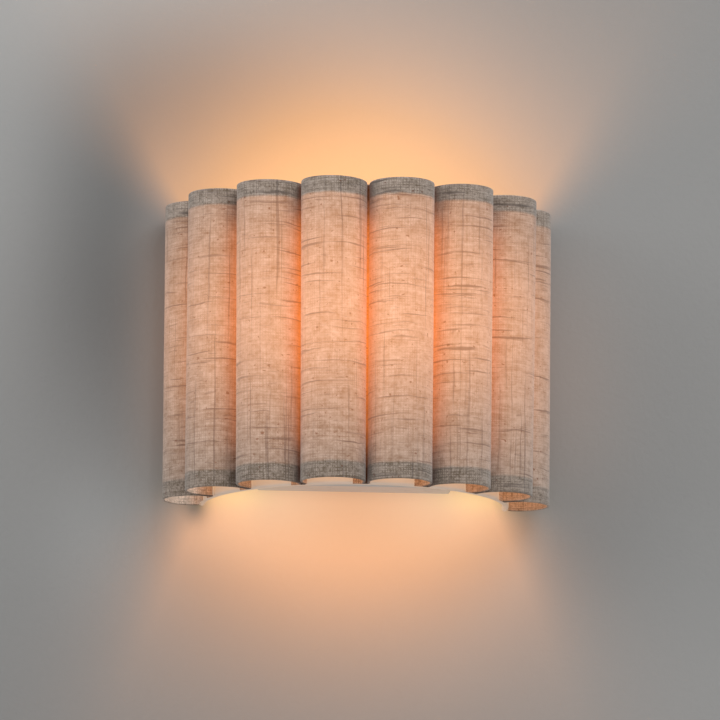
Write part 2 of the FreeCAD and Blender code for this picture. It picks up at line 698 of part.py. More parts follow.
circles(screw_bores, [(pole, row) for pole in POLES for row in SCREW_ROWS], SCREW_BORE)
pocket(block, screw_bores, "sizes.block_depth / 2", along_normal=True)
for side, sign in (("left", "-"), ("right", "")):
    gap = sketch_on(block, "XZ_Plane", f"gap_{side}", f"-{BLOCK_BACK}")
    rectangle(gap, f"{sign}sizes.pole_pitch / 2 - 1", f"{sign}sizes.pole_pitch / 2 + 1",
              f"{BLOCK_FOOT} - 1", f"{BLOCK_HEAD} + 1")
    pocket(block, gap, "sizes.block_depth / 2", along_normal=True)
fixing_bore = sketch_on(block, "XZ_Plane", "fixing_bore")
circles(fixing_bore, [("sizes.pole_pitch / 2", BLOCK_LEVEL)], SCREW_BORE)
pocket(block, fixing_bore)

terminal_screws = []
for index, (pole, row) in enumerate((pole, row) for pole in POLES for row in SCREW_ROWS):
    terminal_screws.append(stack(
        f"terminal_screw_{index}", "wall", pole, f"({BLOCK_MIDDLE} + sizes.wire_diameter / 2)", row,
        [("round", "sizes.terminal_screw_diameter / 2", "0",
          "sizes.block_depth / 2 - sizes.wire_diameter")]))
keep(group("terminal_screws", terminal_screws))
keep(stack("block_screw", "wall", "sizes.pole_pitch / 2", f"({BOX_FACE} - 1.6)", BLOCK_LEVEL, [
    ("round", "3", "0", "1.6"),
    ("round", "sizes.terminal_screw_diameter / 2", "1.6",
     "sizes.box_wall + sizes.block_depth / 2 - 0.5"),
]))

# Earth tag under the earth screw on the bracket, with a barrel for the wire

EARTH_FACE = "(-sizes.bracket_thickness)"
TAG_FACE = f"({EARTH_FACE} - sizes.tag_thickness)"
BARREL_RADIUS = "(sizes.wire_diameter / 2 + 0.7)"
BARREL_Y = f"({EARTH_FACE} - sizes.seat_gap - {BARREL_RADIUS})"
BARREL_FOOT = "(sizes.washer_diameter / 2)"
BARREL_HEAD = f"({BARREL_FOOT} + 6.5)"
ring = stack("tag_ring", "front", "sizes.earth_offset", EARTH_FACE, "0",
             [("round", "sizes.washer_diameter / 2", "0", "sizes.tag_thickness")],
             (THREAD, "-1", "3"))
barrel = cylinder("tag_barrel", BARREL_RADIUS, f"({BARREL_HEAD} - {BARREL_FOOT})", BARREL_FOOT,
                  "sizes.earth_offset", BARREL_Y)
neck = bind(add("Part::Box", "tag_neck"), Length="3", Width="sizes.tag_thickness", Height="3")
place(neck, "sizes.earth_offset - 1.5", TAG_FACE, f"({BARREL_FOOT} - 1.5)")
barrel_bore = cylinder("tag_barrel_bore", "sizes.wire_diameter / 2", "8", f"({BARREL_FOOT} + 1.5)",
                       "sizes.earth_offset", BARREL_Y)
keep(cut("earth_tag", fuse("tag_outside", [ring, barrel, neck]), barrel_bore))
keep(stack("earth_screw", "front", "sizes.earth_offset", "0", "0", [
    ("round", THREAD, "0", "sizes.bracket_thickness + sizes.tag_thickness"),
    ("round", "sizes.washer_diameter / 2 - 0.6", "(sizes.bracket_thickness + sizes.tag_thickness)",
     "2.4"),
]))

# Grommet in the box's face, where the wires leave for the lampholder

grommet = keep(turned("wire_grommet", [
    ("sizes.grommet_bore / 2", "-sizes.grommet_lip"),
    ("sizes.grommet_flange / 2", "-sizes.grommet_lip"),
    ("sizes.grommet_flange / 2", "0"),
    ("sizes.grommet_neck / 2", "0"),
    ("sizes.grommet_neck / 2", "sizes.box_wall"),
    ("sizes.grommet_flange / 2", "sizes.box_wall"),
    ("sizes.grommet_flange / 2", "sizes.box_wall + sizes.grommet_lip"),
    ("sizes.grommet_bore / 2", "sizes.box_wall + sizes.grommet_lip"),
]))
place(grommet, "0", f"({BOX_FACE} + sizes.box_wall)", GROMMET_LEVEL, X_AXIS, "90")

# Arm of the lampholder: an angle of steel strip on the box's face

arm = keep(body("holder_arm"))
arm_side = sketch_on(arm, "YZ_Plane", "arm_side")
BEND_Y = f"({BOX_FACE} - sizes.arm_thickness - sizes.arm_bend)"
BEND_Z = f"({ARM_TOP} + sizes.arm_bend)"
ARM_HEAD = f"({ARM_UNDERSIDE} + sizes.arm_rise)"
ARM_END = "(-sizes.lamp_axis - sizes.arm_nose)"
outline(
    arm_side,
    [
        (BOX_FACE, ARM_HEAD),
        (f"({BOX_FACE} - sizes.arm_thickness)", ARM_HEAD),
        (f"({BOX_FACE} - sizes.arm_thickness)", BEND_Z),
        (BEND_Y, ARM_TOP),
        (ARM_END, ARM_TOP),
        (ARM_END, ARM_UNDERSIDE),
        (BEND_Y, ARM_UNDERSIDE),
        (BOX_FACE, BEND_Z),
    ],
    {2: ((BEND_Y, BEND_Z), -1), 6: ((BEND_Y, BEND_Z), 1)},
)
pad(arm, arm_side, "sizes.arm_width", both_ways=True)
nipple_hole = sketch_on(arm, "XY_Plane", "nipple_hole")
circles(nipple_hole, [("0", "-sizes.lamp_axis")], "sizes.nipple_diameter / 2")
pocket(arm, nipple_hole)
arm_holes = sketch_on(arm, "XZ_Plane", "arm_holes")
circles(arm_holes, [("-sizes.arm_screw_spacing / 2", ARM_SCREW_LEVEL),
                    ("sizes.arm_screw_spacing / 2", ARM_SCREW_LEVEL)], THREAD_HOLE)
pocket(arm, arm_holes)

arm_screws = []
arm_nuts = []
for side, sign in (("left", "-"), ("right", "")):
    x = f"{sign}sizes.arm_screw_spacing / 2"
    arm_screws.append(stack(
        f"arm_screw_{side}", "wall", x, f"({BOX_FACE} - sizes.arm_thickness - 2.2)", ARM_SCREW_LEVEL,
        [
            ("taper", ("3", "3.8"), "0", "1"),
            ("round", "3.8", "1", "1.2"),
            ("round", THREAD, "2.2", "sizes.arm_thickness + sizes.box_wall + sizes.nut_thickness + 1"),
        ]))
    arm_nuts.append(stack(
        f"arm_nut_{side}", "wall", x, BLOCK_FRONT, ARM_SCREW_LEVEL,
        [("hexagon", "sizes.nut_circumradius", "0", "sizes.nut_thickness")],
        (THREAD, "-1", "sizes.nut_thickness + 2")))
keep(group("arm_screws", arm_screws))
keep(group("arm_nuts", arm_nuts))

# Hollow threaded nipple through the arm, its nut below and its locknut in the holder's base

NIPPLE = "(sizes.nipple_diameter / 2)"
NIPPLE_FOOT = f"({ARM_UNDERSIDE} - sizes.nipple_nut_thickness - 2)"
LAMP_Y = "(-sizes.lamp_axis)"
BASE_FLOOR = f"({ARM_TOP} + sizes.holder_wall)"
keep(stack("holder_nipple", "up", "0", LAMP_Y, NIPPLE_FOOT,
           [("round", NIPPLE, "0", "sizes.nipple_length")],
           ("sizes.nipple_bore / 2", "-1", "sizes.nipple_length + 2")))
keep(stack("nipple_nut", "up", "0", LAMP_Y, f"({ARM_UNDERSIDE} - sizes.nipple_nut_thickness)",
           [("hexagon", "sizes.nipple_nut_circumradius", "0", "sizes.nipple_nut_thickness")],
           (NIPPLE, "-1", "sizes.nipple_nut_thickness + 2")))
keep(stack("holder_locknut", "up", "0", LAMP_Y, BASE_FLOOR,
           [("hexagon", "sizes.locknut_circumradius", "0", "sizes.locknut_thickness")],
           (NIPPLE, "-1", "sizes.locknut_thickness + 2")))

# Lampholder: base cup, core that carries the contacts, outer shell and the screw shell

keep(turned("holder_base", [
    (NIPPLE, ARM_TOP),
    (f"({HOLDER_RADIUS} - 2)", ARM_TOP),
    (HOLDER_RADIUS, f"({ARM_TOP} + 4)"),
    (HOLDER_RADIUS, BASE_TOP),
    (HOLDER_BORE, BASE_TOP),
    (HOLDER_BORE, CORE_SEAT),
    (f"({HOLDER_BORE} - 1.5)", CORE_SEAT),
    (f"({HOLDER_BORE} - 1.5)", BASE_FLOOR),
    (NIPPLE, BASE_FLOOR),
]))
CORE_RADIUS = f"({HOLDER_BORE} - 0.2)"
keep(turned("holder_core", [
    ("0", CORE_SEAT),
    (CORE_RADIUS, CORE_SEAT),
    (CORE_RADIUS, CORE_TOP),
    ("0", CORE_TOP),
]))
SHELL_BORE = "(sizes.screw_shell_bore / 2 + sizes.screw_shell_wall + 0.6)"
keep(turned(
    "holder_shell",
    [
        (HOLDER_RADIUS, BASE_TOP),
        (HOLDER_RADIUS, f"({BASE_TOP} + 2)"),
        (f"({HOLDER_RADIUS} - 1)", f"({BASE_TOP} + 3)"),
        (f"({HOLDER_RADIUS} - 1.6)", f"({SHELL_TOP} - 2)"),
        (f"({HOLDER_RADIUS} - 3.6)", SHELL_TOP),
        (SHELL_BORE, SHELL_TOP),
        (SHELL_BORE, CORE_TOP),
        (HOLDER_BORE, CORE_TOP),
        (HOLDER_BORE, BASE_TOP),
    ],
    {3: ((f"({HOLDER_RADIUS} - 3.6)", f"({SHELL_TOP} - 2)"), 1)},
))
keep(stack("screw_shell", "up", "0", LAMP_Y, CORE_TOP,
           [("round", "sizes.screw_shell_bore / 2 + sizes.screw_shell_wall", "0",
             "sizes.screw_shell_height")],
           ("sizes.screw_shell_bore / 2", "0.4", "sizes.screw_shell_height")))

# Screw-cap bulb with a white collar and an opal globe

CONTACT_TOP = f"({CAP_FOOT} - 3)"
CONTACT_FOOT = f"({CONTACT_TOP} - 1.4)"
keep(stack("centre_contact", "up", "0", LAMP_Y, f"({CORE_TOP} + 0.4)", [
    ("taper", ("3", "1.8"), "0", f"{CONTACT_FOOT} - sizes.seat_gap - {CORE_TOP} - 0.4"),
]))
keep(stack("bulb_contact", "up", "0", LAMP_Y, CONTACT_FOOT, [("taper", ("1.6", "2.4"), "0", "1.4")]))
keep(stack("bulb_insulator", "up", "0", LAMP_Y, CONTACT_TOP, [
    ("taper", ("2.8", "sizes.cap_diameter / 2 - 0.9"), "0", "3"),
]))
keep(stack("bulb_cap", "up", "0", LAMP_Y, CAP_FOOT, [
    ("taper", ("sizes.cap_diameter / 2 - 0.9", "sizes.cap_diameter / 2"), "0", "1.2"),
    ("round", "sizes.cap_diameter / 2", "1.2", "sizes.cap_length - 1.2"),
]))
GLOBE = "(sizes.globe_diameter / 2)"
GLOBE_FOOT = f"sqrt({GLOBE} ^ 2 - sizes.globe_rise ^ 2)"
GLOBE_CENTRE = f"({COLLAR_TOP} + sizes.globe_rise)"
keep(turned("bulb_collar", [
    ("0", CAP_TOP),
    ("sizes.cap_diameter / 2 + 1", CAP_TOP),
    ("sizes.cap_diameter / 2 + 1.6", f"({CAP_TOP} + 3)"),
    (f"({GLOBE_FOOT} * 0.72)", f"({CAP_TOP} + sizes.collar_height * 0.5)"),
    (f"({GLOBE_FOOT} - 0.6)", f"({COLLAR_TOP} - 2)"),
    (f"({GLOBE_FOOT} - 0.6)", COLLAR_TOP),
    ("0", COLLAR_TOP),
]))
keep(turned(
    "bulb_globe",
    [("0", COLLAR_TOP), (GLOBE_FOOT, COLLAR_TOP), ("0", f"({GLOBE_CENTRE} + {GLOBE})")],
    {1: (("0", GLOBE_CENTRE), 1)},
))

# Wires between the terminal block, the lampholder and the earth screw, each one smooth run with
# arcs at its turns

WIRE_RADIUS_MM = number("sizes.wire_diameter / 2")


def wire_path(points, share=0.45):
    """Straight runs joined by arcs as large as each pair of runs allows."""
    path = []
    last = points[0]
    radii = []
    for before, corner, after in zip(points, points[1:], points[2:]):
        back = before - corner
        onward = after - corner
        back_length = back.Length
        onward_length = onward.Length
        turn = math.pi - back.getAngle(onward)
        reach = share * min(back_length, onward_length)
        back.normalize()
        onward.normalize()
        begin = corner + back * reach
        finish = corner + onward * reach
        middle_way = back + onward
        middle_way.normalize()
        radius = reach / math.tan(turn / 2)
        middle = corner + middle_way * (radius / math.cos(turn / 2) - radius)
        path.append(Part.LineSegment(last, begin).toShape())
        path.append(Part.Arc(begin, middle, finish).toShape())
        radii.append(round(radius, 1))
        last = finish
    path.append(Part.LineSegment(last, points[-1]).toShape())
    return Part.Wire(path), radii


def wire(label, points):
    """Solid insulated wire along a route."""
    path, radii = wire_path([VECTOR(*point) for point in points])
    circle = Part.Circle(VECTOR(*points[0]), VECTOR(*points[1]) - VECTOR(*points[0]), WIRE_RADIUS_MM)
    section = Part.Wire(circle.toShape())
    item = add("Part::Feature", label)
    item.Shape = path.makePipeShell([section], True, False)
    expected = math.pi * WIRE_RADIUS_MM ** 2 * path.Length
    print(label, "bend radii", radii, "volume over section times length",
          round(item.Shape.Volume / expected, 4))
    return keep(item)


block_middle = number(BLOCK_MIDDLE)
block_foot = number(BLOCK_FOOT)
box_face = number(BOX_FACE)
lamp_y = number(LAMP_Y)
grommet_z = number(GROMMET_LEVEL)
core_seat = number(CORE_SEAT)
pitch = number("sizes.pole_pitch")
lane = number("sizes.wire_diameter") * 0.65
run_y = block_middle + 4
sag = grommet_z - 6.5
for label, start_x, end_x in (("live_wire", -pitch, -lane), ("neutral_wire", 0, lane)):
    wire(label, [
        (start_x, block_middle, block_foot + 3),
        (start_x, block_middle, block_foot - 24),
        (end_x, run_y, block_foot - 64),
        (end_x, run_y, grommet_z),
        (end_x, box_face - 8, grommet_z),
        (end_x, box_face - 20, sag),
        (end_x, lamp_y, sag),
        (end_x, lamp_y, core_seat),
    ])
earth_x = number("sizes.earth_offset")
barrel_y = number(BARREL_Y)
wire("earth_wire", [
    (earth_x, barrel_y, number(BARREL_FOOT) + 1.5),
    (earth_x, barrel_y, number(BARREL_HEAD) + 9),
    (pitch, block_middle, block_foot - 10),
    (pitch, block_middle, block_foot + 3),
])

# Every object has to be sound before any sub-part is written

doc.recompute()
for item in doc.Objects:
    faults = [state for state in item.State if state in ("Invalid", "Error")]
    if faults:
        raise RuntimeError(f"{item.Label} is {faults}")
for item in nodes:
    if item.Shape.isNull() or not item.Shape.isValid():
        raise RuntimeError(f"{item.Label} has no valid shape")

os.makedirs("parts", exist_ok=True)
for item in nodes:
    item.Shape.exportStep(f"parts/{item.Label}.step")
print(len(nodes), "sub-parts written")
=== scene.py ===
"""Looks of a wall light with a half-round shade of eight upright linen flutes.

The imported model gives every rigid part. The linen and the white film of the flutes are swept here,
every part gets its finish, and the light hangs on a plain wall over a pale floor.
"""

import math

import bmesh
import bpy
from bpy.props import FloatProperty, FloatVectorProperty, IntProperty, PointerProperty
from mathutils import Matrix, Vector


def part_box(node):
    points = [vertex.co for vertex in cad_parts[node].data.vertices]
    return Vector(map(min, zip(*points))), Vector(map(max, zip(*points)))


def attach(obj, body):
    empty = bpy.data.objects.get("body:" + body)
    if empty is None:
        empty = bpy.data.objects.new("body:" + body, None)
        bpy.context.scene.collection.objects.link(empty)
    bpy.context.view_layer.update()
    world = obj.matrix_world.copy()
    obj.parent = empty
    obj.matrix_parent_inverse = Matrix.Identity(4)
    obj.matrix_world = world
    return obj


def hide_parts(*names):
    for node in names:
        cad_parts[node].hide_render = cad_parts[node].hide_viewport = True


bl_info = {
    "name": "Fluted Linen Wall Light",
    "version": (1, 0, 0),
    "blender": (4, 5, 0),
    "location": "View3D > Sidebar > Wall Light",
    "description": "Dresses the packed wall light in linen, film, paint, metal and plastic",
    "category": "Object",
}

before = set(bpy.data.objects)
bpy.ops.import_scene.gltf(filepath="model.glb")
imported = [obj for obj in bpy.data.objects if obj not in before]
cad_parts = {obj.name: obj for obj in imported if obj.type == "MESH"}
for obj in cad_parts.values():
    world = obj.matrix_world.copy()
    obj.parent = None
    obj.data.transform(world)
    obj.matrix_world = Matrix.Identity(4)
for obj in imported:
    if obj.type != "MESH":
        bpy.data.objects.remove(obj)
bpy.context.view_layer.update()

# Plan of the shade in metres: its axis, and from there the liner's outer face and the middle of
# each flute's tube. A flute's radius is that of the face between its film and its linen.
FLUTES = 8
SHADE_AXIS = Vector((0.0, -0.003, 0.0))
LINER_FACE = 0.107
FLUTE_CENTRE = 0.115544
FLUTE_RADIUS = 0.0212915

# Gaps that keep glued faces, and the end of the first flute's tab, from touching
GLUE_GAP = 0.00003
STRIP_GAP = 0.0001

# Faces up a flute's height
ROWS = 44

# Angle round a flute that stands for the part of its tab inside the flute before it
TUCKED = -2 * math.pi

# Values that the cloth's points carry into its node tree
PLACE, SIDE, ALONG, AROUND, FOLDED, LAYER, LEVEL = (
    "place", "side", "along", "around", "folded", "layer", "level")

# How far each flute's crown leans to the right at its foot and at its head, in metres
LEANS = [
    (0.0024, 0.0017), (-0.0013, -0.0016), (-0.0004, -0.0026), (0.0006, -0.0024),
    (-0.0006, 0.0004), (-0.0012, 0.0003), (-0.0011, 0.0014), (-0.0022, -0.0011),
]

# Level of the lamplight's middle, and how far the light reaches through the shade each way
LIGHT_LEVEL = 0.016
LIGHT_REACH = (0.122, 0.122, 0.083)

# Patches that the room's own light leaves brighter or darker on the wall: their middle across and
# up from the light's, their width and height in metres, and the change of tone
WALL_PATCHES = (
    (-0.155, 0.229, 0.16, 0.16, 0.708),
    (-0.113, 0.192, 0.117, 0.084, -0.795),
    (-0.172, 0.075, 0.0625, 0.12, -0.537),
    (0.186, 0.085, 0.127, 0.0585, 0.05),
    (0.27, -0.25, 0.12, 0.11, 0.12),
    (-0.16, -0.12, 0.05, 0.05, 0.176),
    (0.16, -0.12, 0.05, 0.05, -0.081),
)

# Room in metres: the wall just clear of the light's back, and how far wall and floor reach
WALL_FACE = 0.0006
WALL_TOP = 2.2
FLOOR_LEVEL = -1.3
ROOM_FRONT = -5.0
ROOM_HALF = 3.0

# The camera turns about this point of the light, which is at this pixel of the square picture,
# counted from its upper left corner.
TURNING_POINT = Vector((0.0, 0.0249, 0.0))
TURNING_PIXEL = (351.7, 369.7)
PICTURE_SIZE = 720


# Sizes and colours

class ClothSizes(bpy.types.PropertyGroup):
    """Sizes of the linen and of the white film behind it."""

    thickness: FloatProperty(
        name="Cloth Thickness", description="Thickness of the linen, and of the film behind it",
        default=0.0006, min=0.0002, max=0.002, precision=5, unit="LENGTH")
    hem: FloatProperty(
        name="Hem Width", description="Width of the linen folded in over each rim",
        default=0.011, min=0.002, max=0.03, unit="LENGTH")
    bend: FloatProperty(
        name="Tab Bend", description="Radius of the bend between a flute and its glued tab",
        default=0.0009, min=0.0007, max=0.003, precision=5, unit="LENGTH")
    tab: FloatProperty(
        name="Tab Width", description="Width of the tab that is glued to the liner",
        default=0.0095, min=0.003, max=0.015, unit="LENGTH")
    end_tab: FloatProperty(
        name="End Tab Width", description="Width of the first flute's tab, which is turned inwards",
        default=0.02, min=0.003, max=0.03, unit="LENGTH")
    ripple: FloatProperty(
        name="Ripple", description="Height of the cloth's slight waves",
        default=0.0002, min=0.0, max=0.001, precision=5, unit="LENGTH")
    thread: FloatProperty(
        name="Thread Spacing", description="Distance between the raised crossings of the weave",
        default=0.0017, min=0.0003, max=0.003, precision=5, unit="LENGTH")
    seed: IntProperty(
        name="Seed", description="Seed of the waves in the cloth", default=7, min=0)


class LightColours(bpy.types.PropertyGroup):
    """Colours of the light and of what it hangs on."""

    pale_linen: FloatVectorProperty(
        name="Pale Linen", description="Palest threads of the linen in daylight",
        default=(0.43, 0.345, 0.287), min=0, max=1, subtype="COLOR")
    dark_linen: FloatVectorProperty(
        name="Dark Linen", description="Darkest threads of the linen in daylight",
        default=(0.13, 0.09, 0.058), min=0, max=1, subtype="COLOR")
    slub: FloatVectorProperty(
        name="Slub", description="Thick grey threads in the linen",
        default=(0.1, 0.072, 0.058), min=0, max=1, subtype="COLOR")
    speck: FloatVectorProperty(
        name="Speck", description="Bits of husk in the linen",
        default=(0.12, 0.04, 0.015), min=0, max=1, subtype="COLOR")
    glow: FloatVectorProperty(
        name="Glow", description="Lamplight that comes through the linen",
        default=(1.0, 0.36, 0.115), min=0, max=1, subtype="COLOR")
    deep_glow: FloatVectorProperty(
        name="Deep Glow", description="Lamplight that comes through between two flutes",
        default=(1.0, 0.235, 0.03), min=0, max=1, subtype="COLOR")
    # The end glow is painted daylight as well as lamplight.
    end_glow: FloatVectorProperty(
        name="End Glow", description="Lamplight inside the flutes at the viewer's left end",
        default=(1.0, 0.8, 0.65), min=0, max=1, subtype="COLOR")
    inner_glow: FloatVectorProperty(
        name="Inner Glow", description="Lamplight that comes through the white film",
        default=(1.0, 0.55, 0.28), min=0, max=1, subtype="COLOR")
    film: FloatVectorProperty(
        name="Film", description="White film of the liner and behind the linen",
        default=(0.72, 0.69, 0.64), min=0, max=1, subtype="COLOR")
    paint: FloatVectorProperty(
        name="Paint", description="White paint of the frame, the arm and the back box",
        default=(0.61, 0.638, 0.655), min=0, max=1, subtype="COLOR")
    zinc: FloatVectorProperty(
        name="Zinc", description="Zinc plate of the bracket, the studs and the nuts",
        default=(0.56, 0.57, 0.58), min=0, max=1, subtype="COLOR")
    brass: FloatVectorProperty(
        name="Brass", description="Brass of the contacts and the terminal screws",
        default=(0.72, 0.52, 0.24), min=0, max=1, subtype="COLOR")
    nickel: FloatVectorProperty(
        name="Nickel", description="Nickel plate of the bulb's cap",
        default=(0.66, 0.63, 0.58), min=0, max=1, subtype="COLOR")
    plastic: FloatVectorProperty(
        name="Plastic", description="Moulded plastic of the lampholder and the terminal block",
        default=(0.62, 0.61, 0.57), min=0, max=1, subtype="COLOR")
    rubber: FloatVectorProperty(
        name="Rubber", description="Rubber of the grommet",
        default=(0.03, 0.03, 0.03), min=0, max=1, subtype="COLOR")
    bumper: FloatVectorProperty(
        name="Bumper", description="Soft plastic of the two bumpers",
        default=(0.5, 0.5, 0.47), min=0, max=1, subtype="COLOR")
    live: FloatVectorProperty(
        name="Live Wire", description="Sleeve of the live wire",
        default=(0.16, 0.055, 0.02), min=0, max=1, subtype="COLOR")
    neutral: FloatVectorProperty(
        name="Neutral Wire", description="Sleeve of the neutral wire",
        default=(0.02, 0.09, 0.33), min=0, max=1, subtype="COLOR")
    earth_green: FloatVectorProperty(
        name="Earth Green", description="Green half of the earth wire's sleeve",
        default=(0.03, 0.22, 0.05), min=0, max=1, subtype="COLOR")
    earth_yellow: FloatVectorProperty(
        name="Earth Yellow", description="Yellow half of the earth wire's sleeve",
        default=(0.72, 0.5, 0.03), min=0, max=1, subtype="COLOR")
    opal: FloatVectorProperty(
        name="Opal Glass", description="Glass of the bulb's globe in daylight",
        default=(0.9, 0.88, 0.84), min=0, max=1, subtype="COLOR")
    globe: FloatVectorProperty(
        name="Lit Globe", description="Light of the opal globe",
        default=(1.0, 0.74, 0.42), min=0, max=1, subtype="COLOR")
    collar: FloatVectorProperty(
        name="Collar", description="Plastic collar under the globe",
        default=(0.74, 0.73, 0.7), min=0, max=1, subtype="COLOR")
    black_glass: FloatVectorProperty(
        name="Black Glass", description="Insulator round the bulb's contact",
        default=(0.02, 0.02, 0.022), min=0, max=1, subtype="COLOR")
    wall: FloatVectorProperty(
        name="Wall", description="Matt paint of the wall",
        default=(0.3, 0.298, 0.292), min=0, max=1, subtype="COLOR")
    wall_glow: FloatVectorProperty(
        name="Wall Glow", description="Lamplight that falls on the wall",
        default=(1.0, 0.46, 0.2), min=0, max=1, subtype="COLOR")
    rim_glow: FloatVectorProperty(
        name="Rim Glow", description="Lamplight on the wall just over the shade",
        default=(0.92, 0.345, 0.025), min=0, max=1, subtype="COLOR")
    foot_glow: FloatVectorProperty(
        name="Foot Glow", description="Lamplight on the wall under the shade",
        default=(1.0, 0.43, 0.163), min=0, max=1, subtype="COLOR")
    floor: FloatVectorProperty(
        name="Floor", description="Plain pale floor",
        default=(0.68, 0.67, 0.65), min=0, max=1, subtype="COLOR")


class ViewSettings(bpy.types.PropertyGroup):
    """Camera and lights."""

    distance: FloatProperty(
        name="Camera Distance", description="From the camera to the point that it turns about",
        default=3.488, min=0.5, unit="LENGTH")
    azimuth: FloatProperty(
        name="Azimuth", description="Turn of the camera to the viewer's left",
        default=math.radians(4.22), unit="ROTATION")
    elevation: FloatProperty(
        name="Elevation", description="Rise of the camera, less than 0 from below",
        default=math.radians(-10.44), unit="ROTATION")
    roll: FloatProperty(
        name="Roll", description="Clockwise turn of the picture",
        default=math.radians(0.46), unit="ROTATION")
    lens: FloatProperty(
        name="Focal Length", description="Focal length of the lens in millimetres",
        default=249.5, min=20)
    daylight: FloatProperty(
        name="Daylight", description="Strength of the room's even light", default=0.7, min=0)
    window: FloatProperty(
        name="Window", description="Power of the large soft lamp", default=28.0, min=0)
    fill: FloatProperty(
        name="Fill", description="Power of the soft lamp beside the light", default=14.0, min=0)
    lamp: FloatProperty(
        name="Lamp", description="Power of the lit bulb", default=0.55, min=0)
    lamp_colour: FloatVectorProperty(
        name="Lamp Colour", description="Colour of the bulb's light",
        default=(1.0, 0.47, 0.14), min=0, max=1, subtype="COLOR")


# Node trees

class Flow:
    """An output of a node tree. Python's operators on it add Math nodes."""

    def __init__(self, tree, socket=None):
        self.tree = tree
        self.socket = socket

    def node(self, kind, settings=(), sockets=(), output=0):
        """New node of a kind, with its settings and the values or links of its sockets."""
        made = self.tree.nodes.new(kind)
        for name, value in dict(settings).items():
            setattr(made, name, value)
        for key, value in dict(sockets).items():
            if isinstance(value, Flow):
                self.tree.links.new(value.socket, made.inputs[key])
            else:
                made.inputs[key].default_value = value
        return Flow(self.tree, made.outputs[output])

    def maths(self, operation, *values):
        """Math node on numbers, any of which may be a link."""
        return self.node("ShaderNodeMath", {"operation": operation}, enumerate(values))

    def vector(self, operation, *values):
        """Vector Math node on vectors, any of which may be a link."""
        return self.node("ShaderNodeVectorMath", {"operation": operation}, enumerate(values))

    def __add__(self, other):
        return self.maths("ADD", self, other)

    def __radd__(self, other):
        return self.maths("ADD", other, self)

    def __sub__(self, other):
        return self.maths("SUBTRACT", self, other)

    def __rsub__(self, other):
        return self.maths("SUBTRACT", other, self)

    def __mul__(self, other):
        return self.maths("MULTIPLY", self, other)

    def __rmul__(self, other):
        return self.maths("MULTIPLY", other, self)

    def __truediv__(self, other):
        return self.maths("DIVIDE", self, other)

    def __rtruediv__(self, other):
        return self.maths("DIVIDE", other, self)

    def __pow__(self, other):
        return self.maths("POWER", self, other)

    def __abs__(self):
        return self.maths("ABSOLUTE", self)

    def sine(self):
        return self.maths("SINE", self)

    def exponential(self):
        return self.maths("EXPONENT", self)

    def at_most(self, limit):
        return self.maths("MINIMUM", self, limit)

    def at_least(self, limit):
        return self.maths("MAXIMUM", self, limit)

    def step(self, low, high):
        """0 at low, 1 at high and smooth between."""
        return self.node("ShaderNodeMapRange", {"interpolation_type": "SMOOTHSTEP"}, {
            "Value": self,
            "From Min": low,
            "From Max": high,
        })

    def part(self, axis):
        """One of a vector's three numbers."""
        return self.node("ShaderNodeSeparateXYZ", (), {0: self}, "XYZ".index(axis))

    def length(self):
        """A vector's length."""
        return self.node("ShaderNodeVectorMath", {"operation": "LENGTH"}, {0: self}, "Value")

    def times(self, amount):
        """A vector times a number."""
        return self.node("ShaderNodeVectorMath", {"operation": "SCALE"}, {0: self, "Scale": amount})

    def noise(self, scales, start=(0, 0, 0), detail=2.0, roughness=0.5):
        """Noise from 0 to 1 at a vector.

        Its three scales are patches per metre along each axis, and start is where it begins.
        """
        return self.node("ShaderNodeTexNoise", {"noise_dimensions": "3D"}, {
            "Vector": self.vector("MULTIPLY_ADD", self, scales, start),
            "Scale": 1.0,
            "Detail": detail,
            "Roughness": roughness,
        })

    def blend(self, first, second):
        """Colour between two, with this number as the second one's share."""
        colours = {0: self, 6: rgba(first), 7: rgba(second)}
        return self.node("ShaderNodeMix", {"data_type": "RGBA"}, colours, 2)

    def tint(self, colour):
        """A colour times this number."""
        return self.node("ShaderNodeCombineColor", (), {
            channel: self * colour[channel] for channel in range(3)
        })


def rgba(colour):
    """A colour as a colour socket takes it."""
    return colour if isinstance(colour, Flow) else (*colour[:3], 1.0)


class Finish:
    """A new material with one Principled shader, and the flow that its nodes start from."""

    def __init__(self, name, **values):
        self.material = bpy.data.materials.new(name)
        self.material.use_nodes = True
        self.shader = self.material.node_tree.nodes["Principled BSDF"]
        self.start = Flow(self.material.node_tree)
        self.place = self.start.node("ShaderNodeTexCoord", output="Object")
        self.feed(**values)

    def feed(self, **values):
        """Set or link the shader's sockets, with _ for the spaces in their names."""
        for name, value in values.items():
            socket = self.shader.inputs[name.replace("_", " ")]
            if isinstance(value, Flow):
                self.start.tree.links.new(value.socket, socket)
            else:
                socket.default_value = rgba(value) if socket.type == "RGBA" else value

    def bump(self, height, depth):
        """Bend the normal by a height from 0 to 1 that stands for a depth in metres."""
        self.feed(Normal=self.start.node("ShaderNodeBump", (), {
            "Strength": 1.0,
            "Distance": depth,
            "Height": height,
        }))


def middle_of(node):
    """Middle of a CAD node's box."""
    low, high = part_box(node)
    return (low + high) / 2


def lamplight(place, spread=1.0):
    """Light of the bulb that comes through at a place: 1 in the middle, fading out evenly."""
    away = place.vector("SUBTRACT", place, (0.0, middle_of("bulb_globe").y, LIGHT_LEVEL))
    away = away.vector("DIVIDE", away, [reach * spread for reach in LIGHT_REACH]).length()
    return (away * away * -1).exponential()


# Finishes

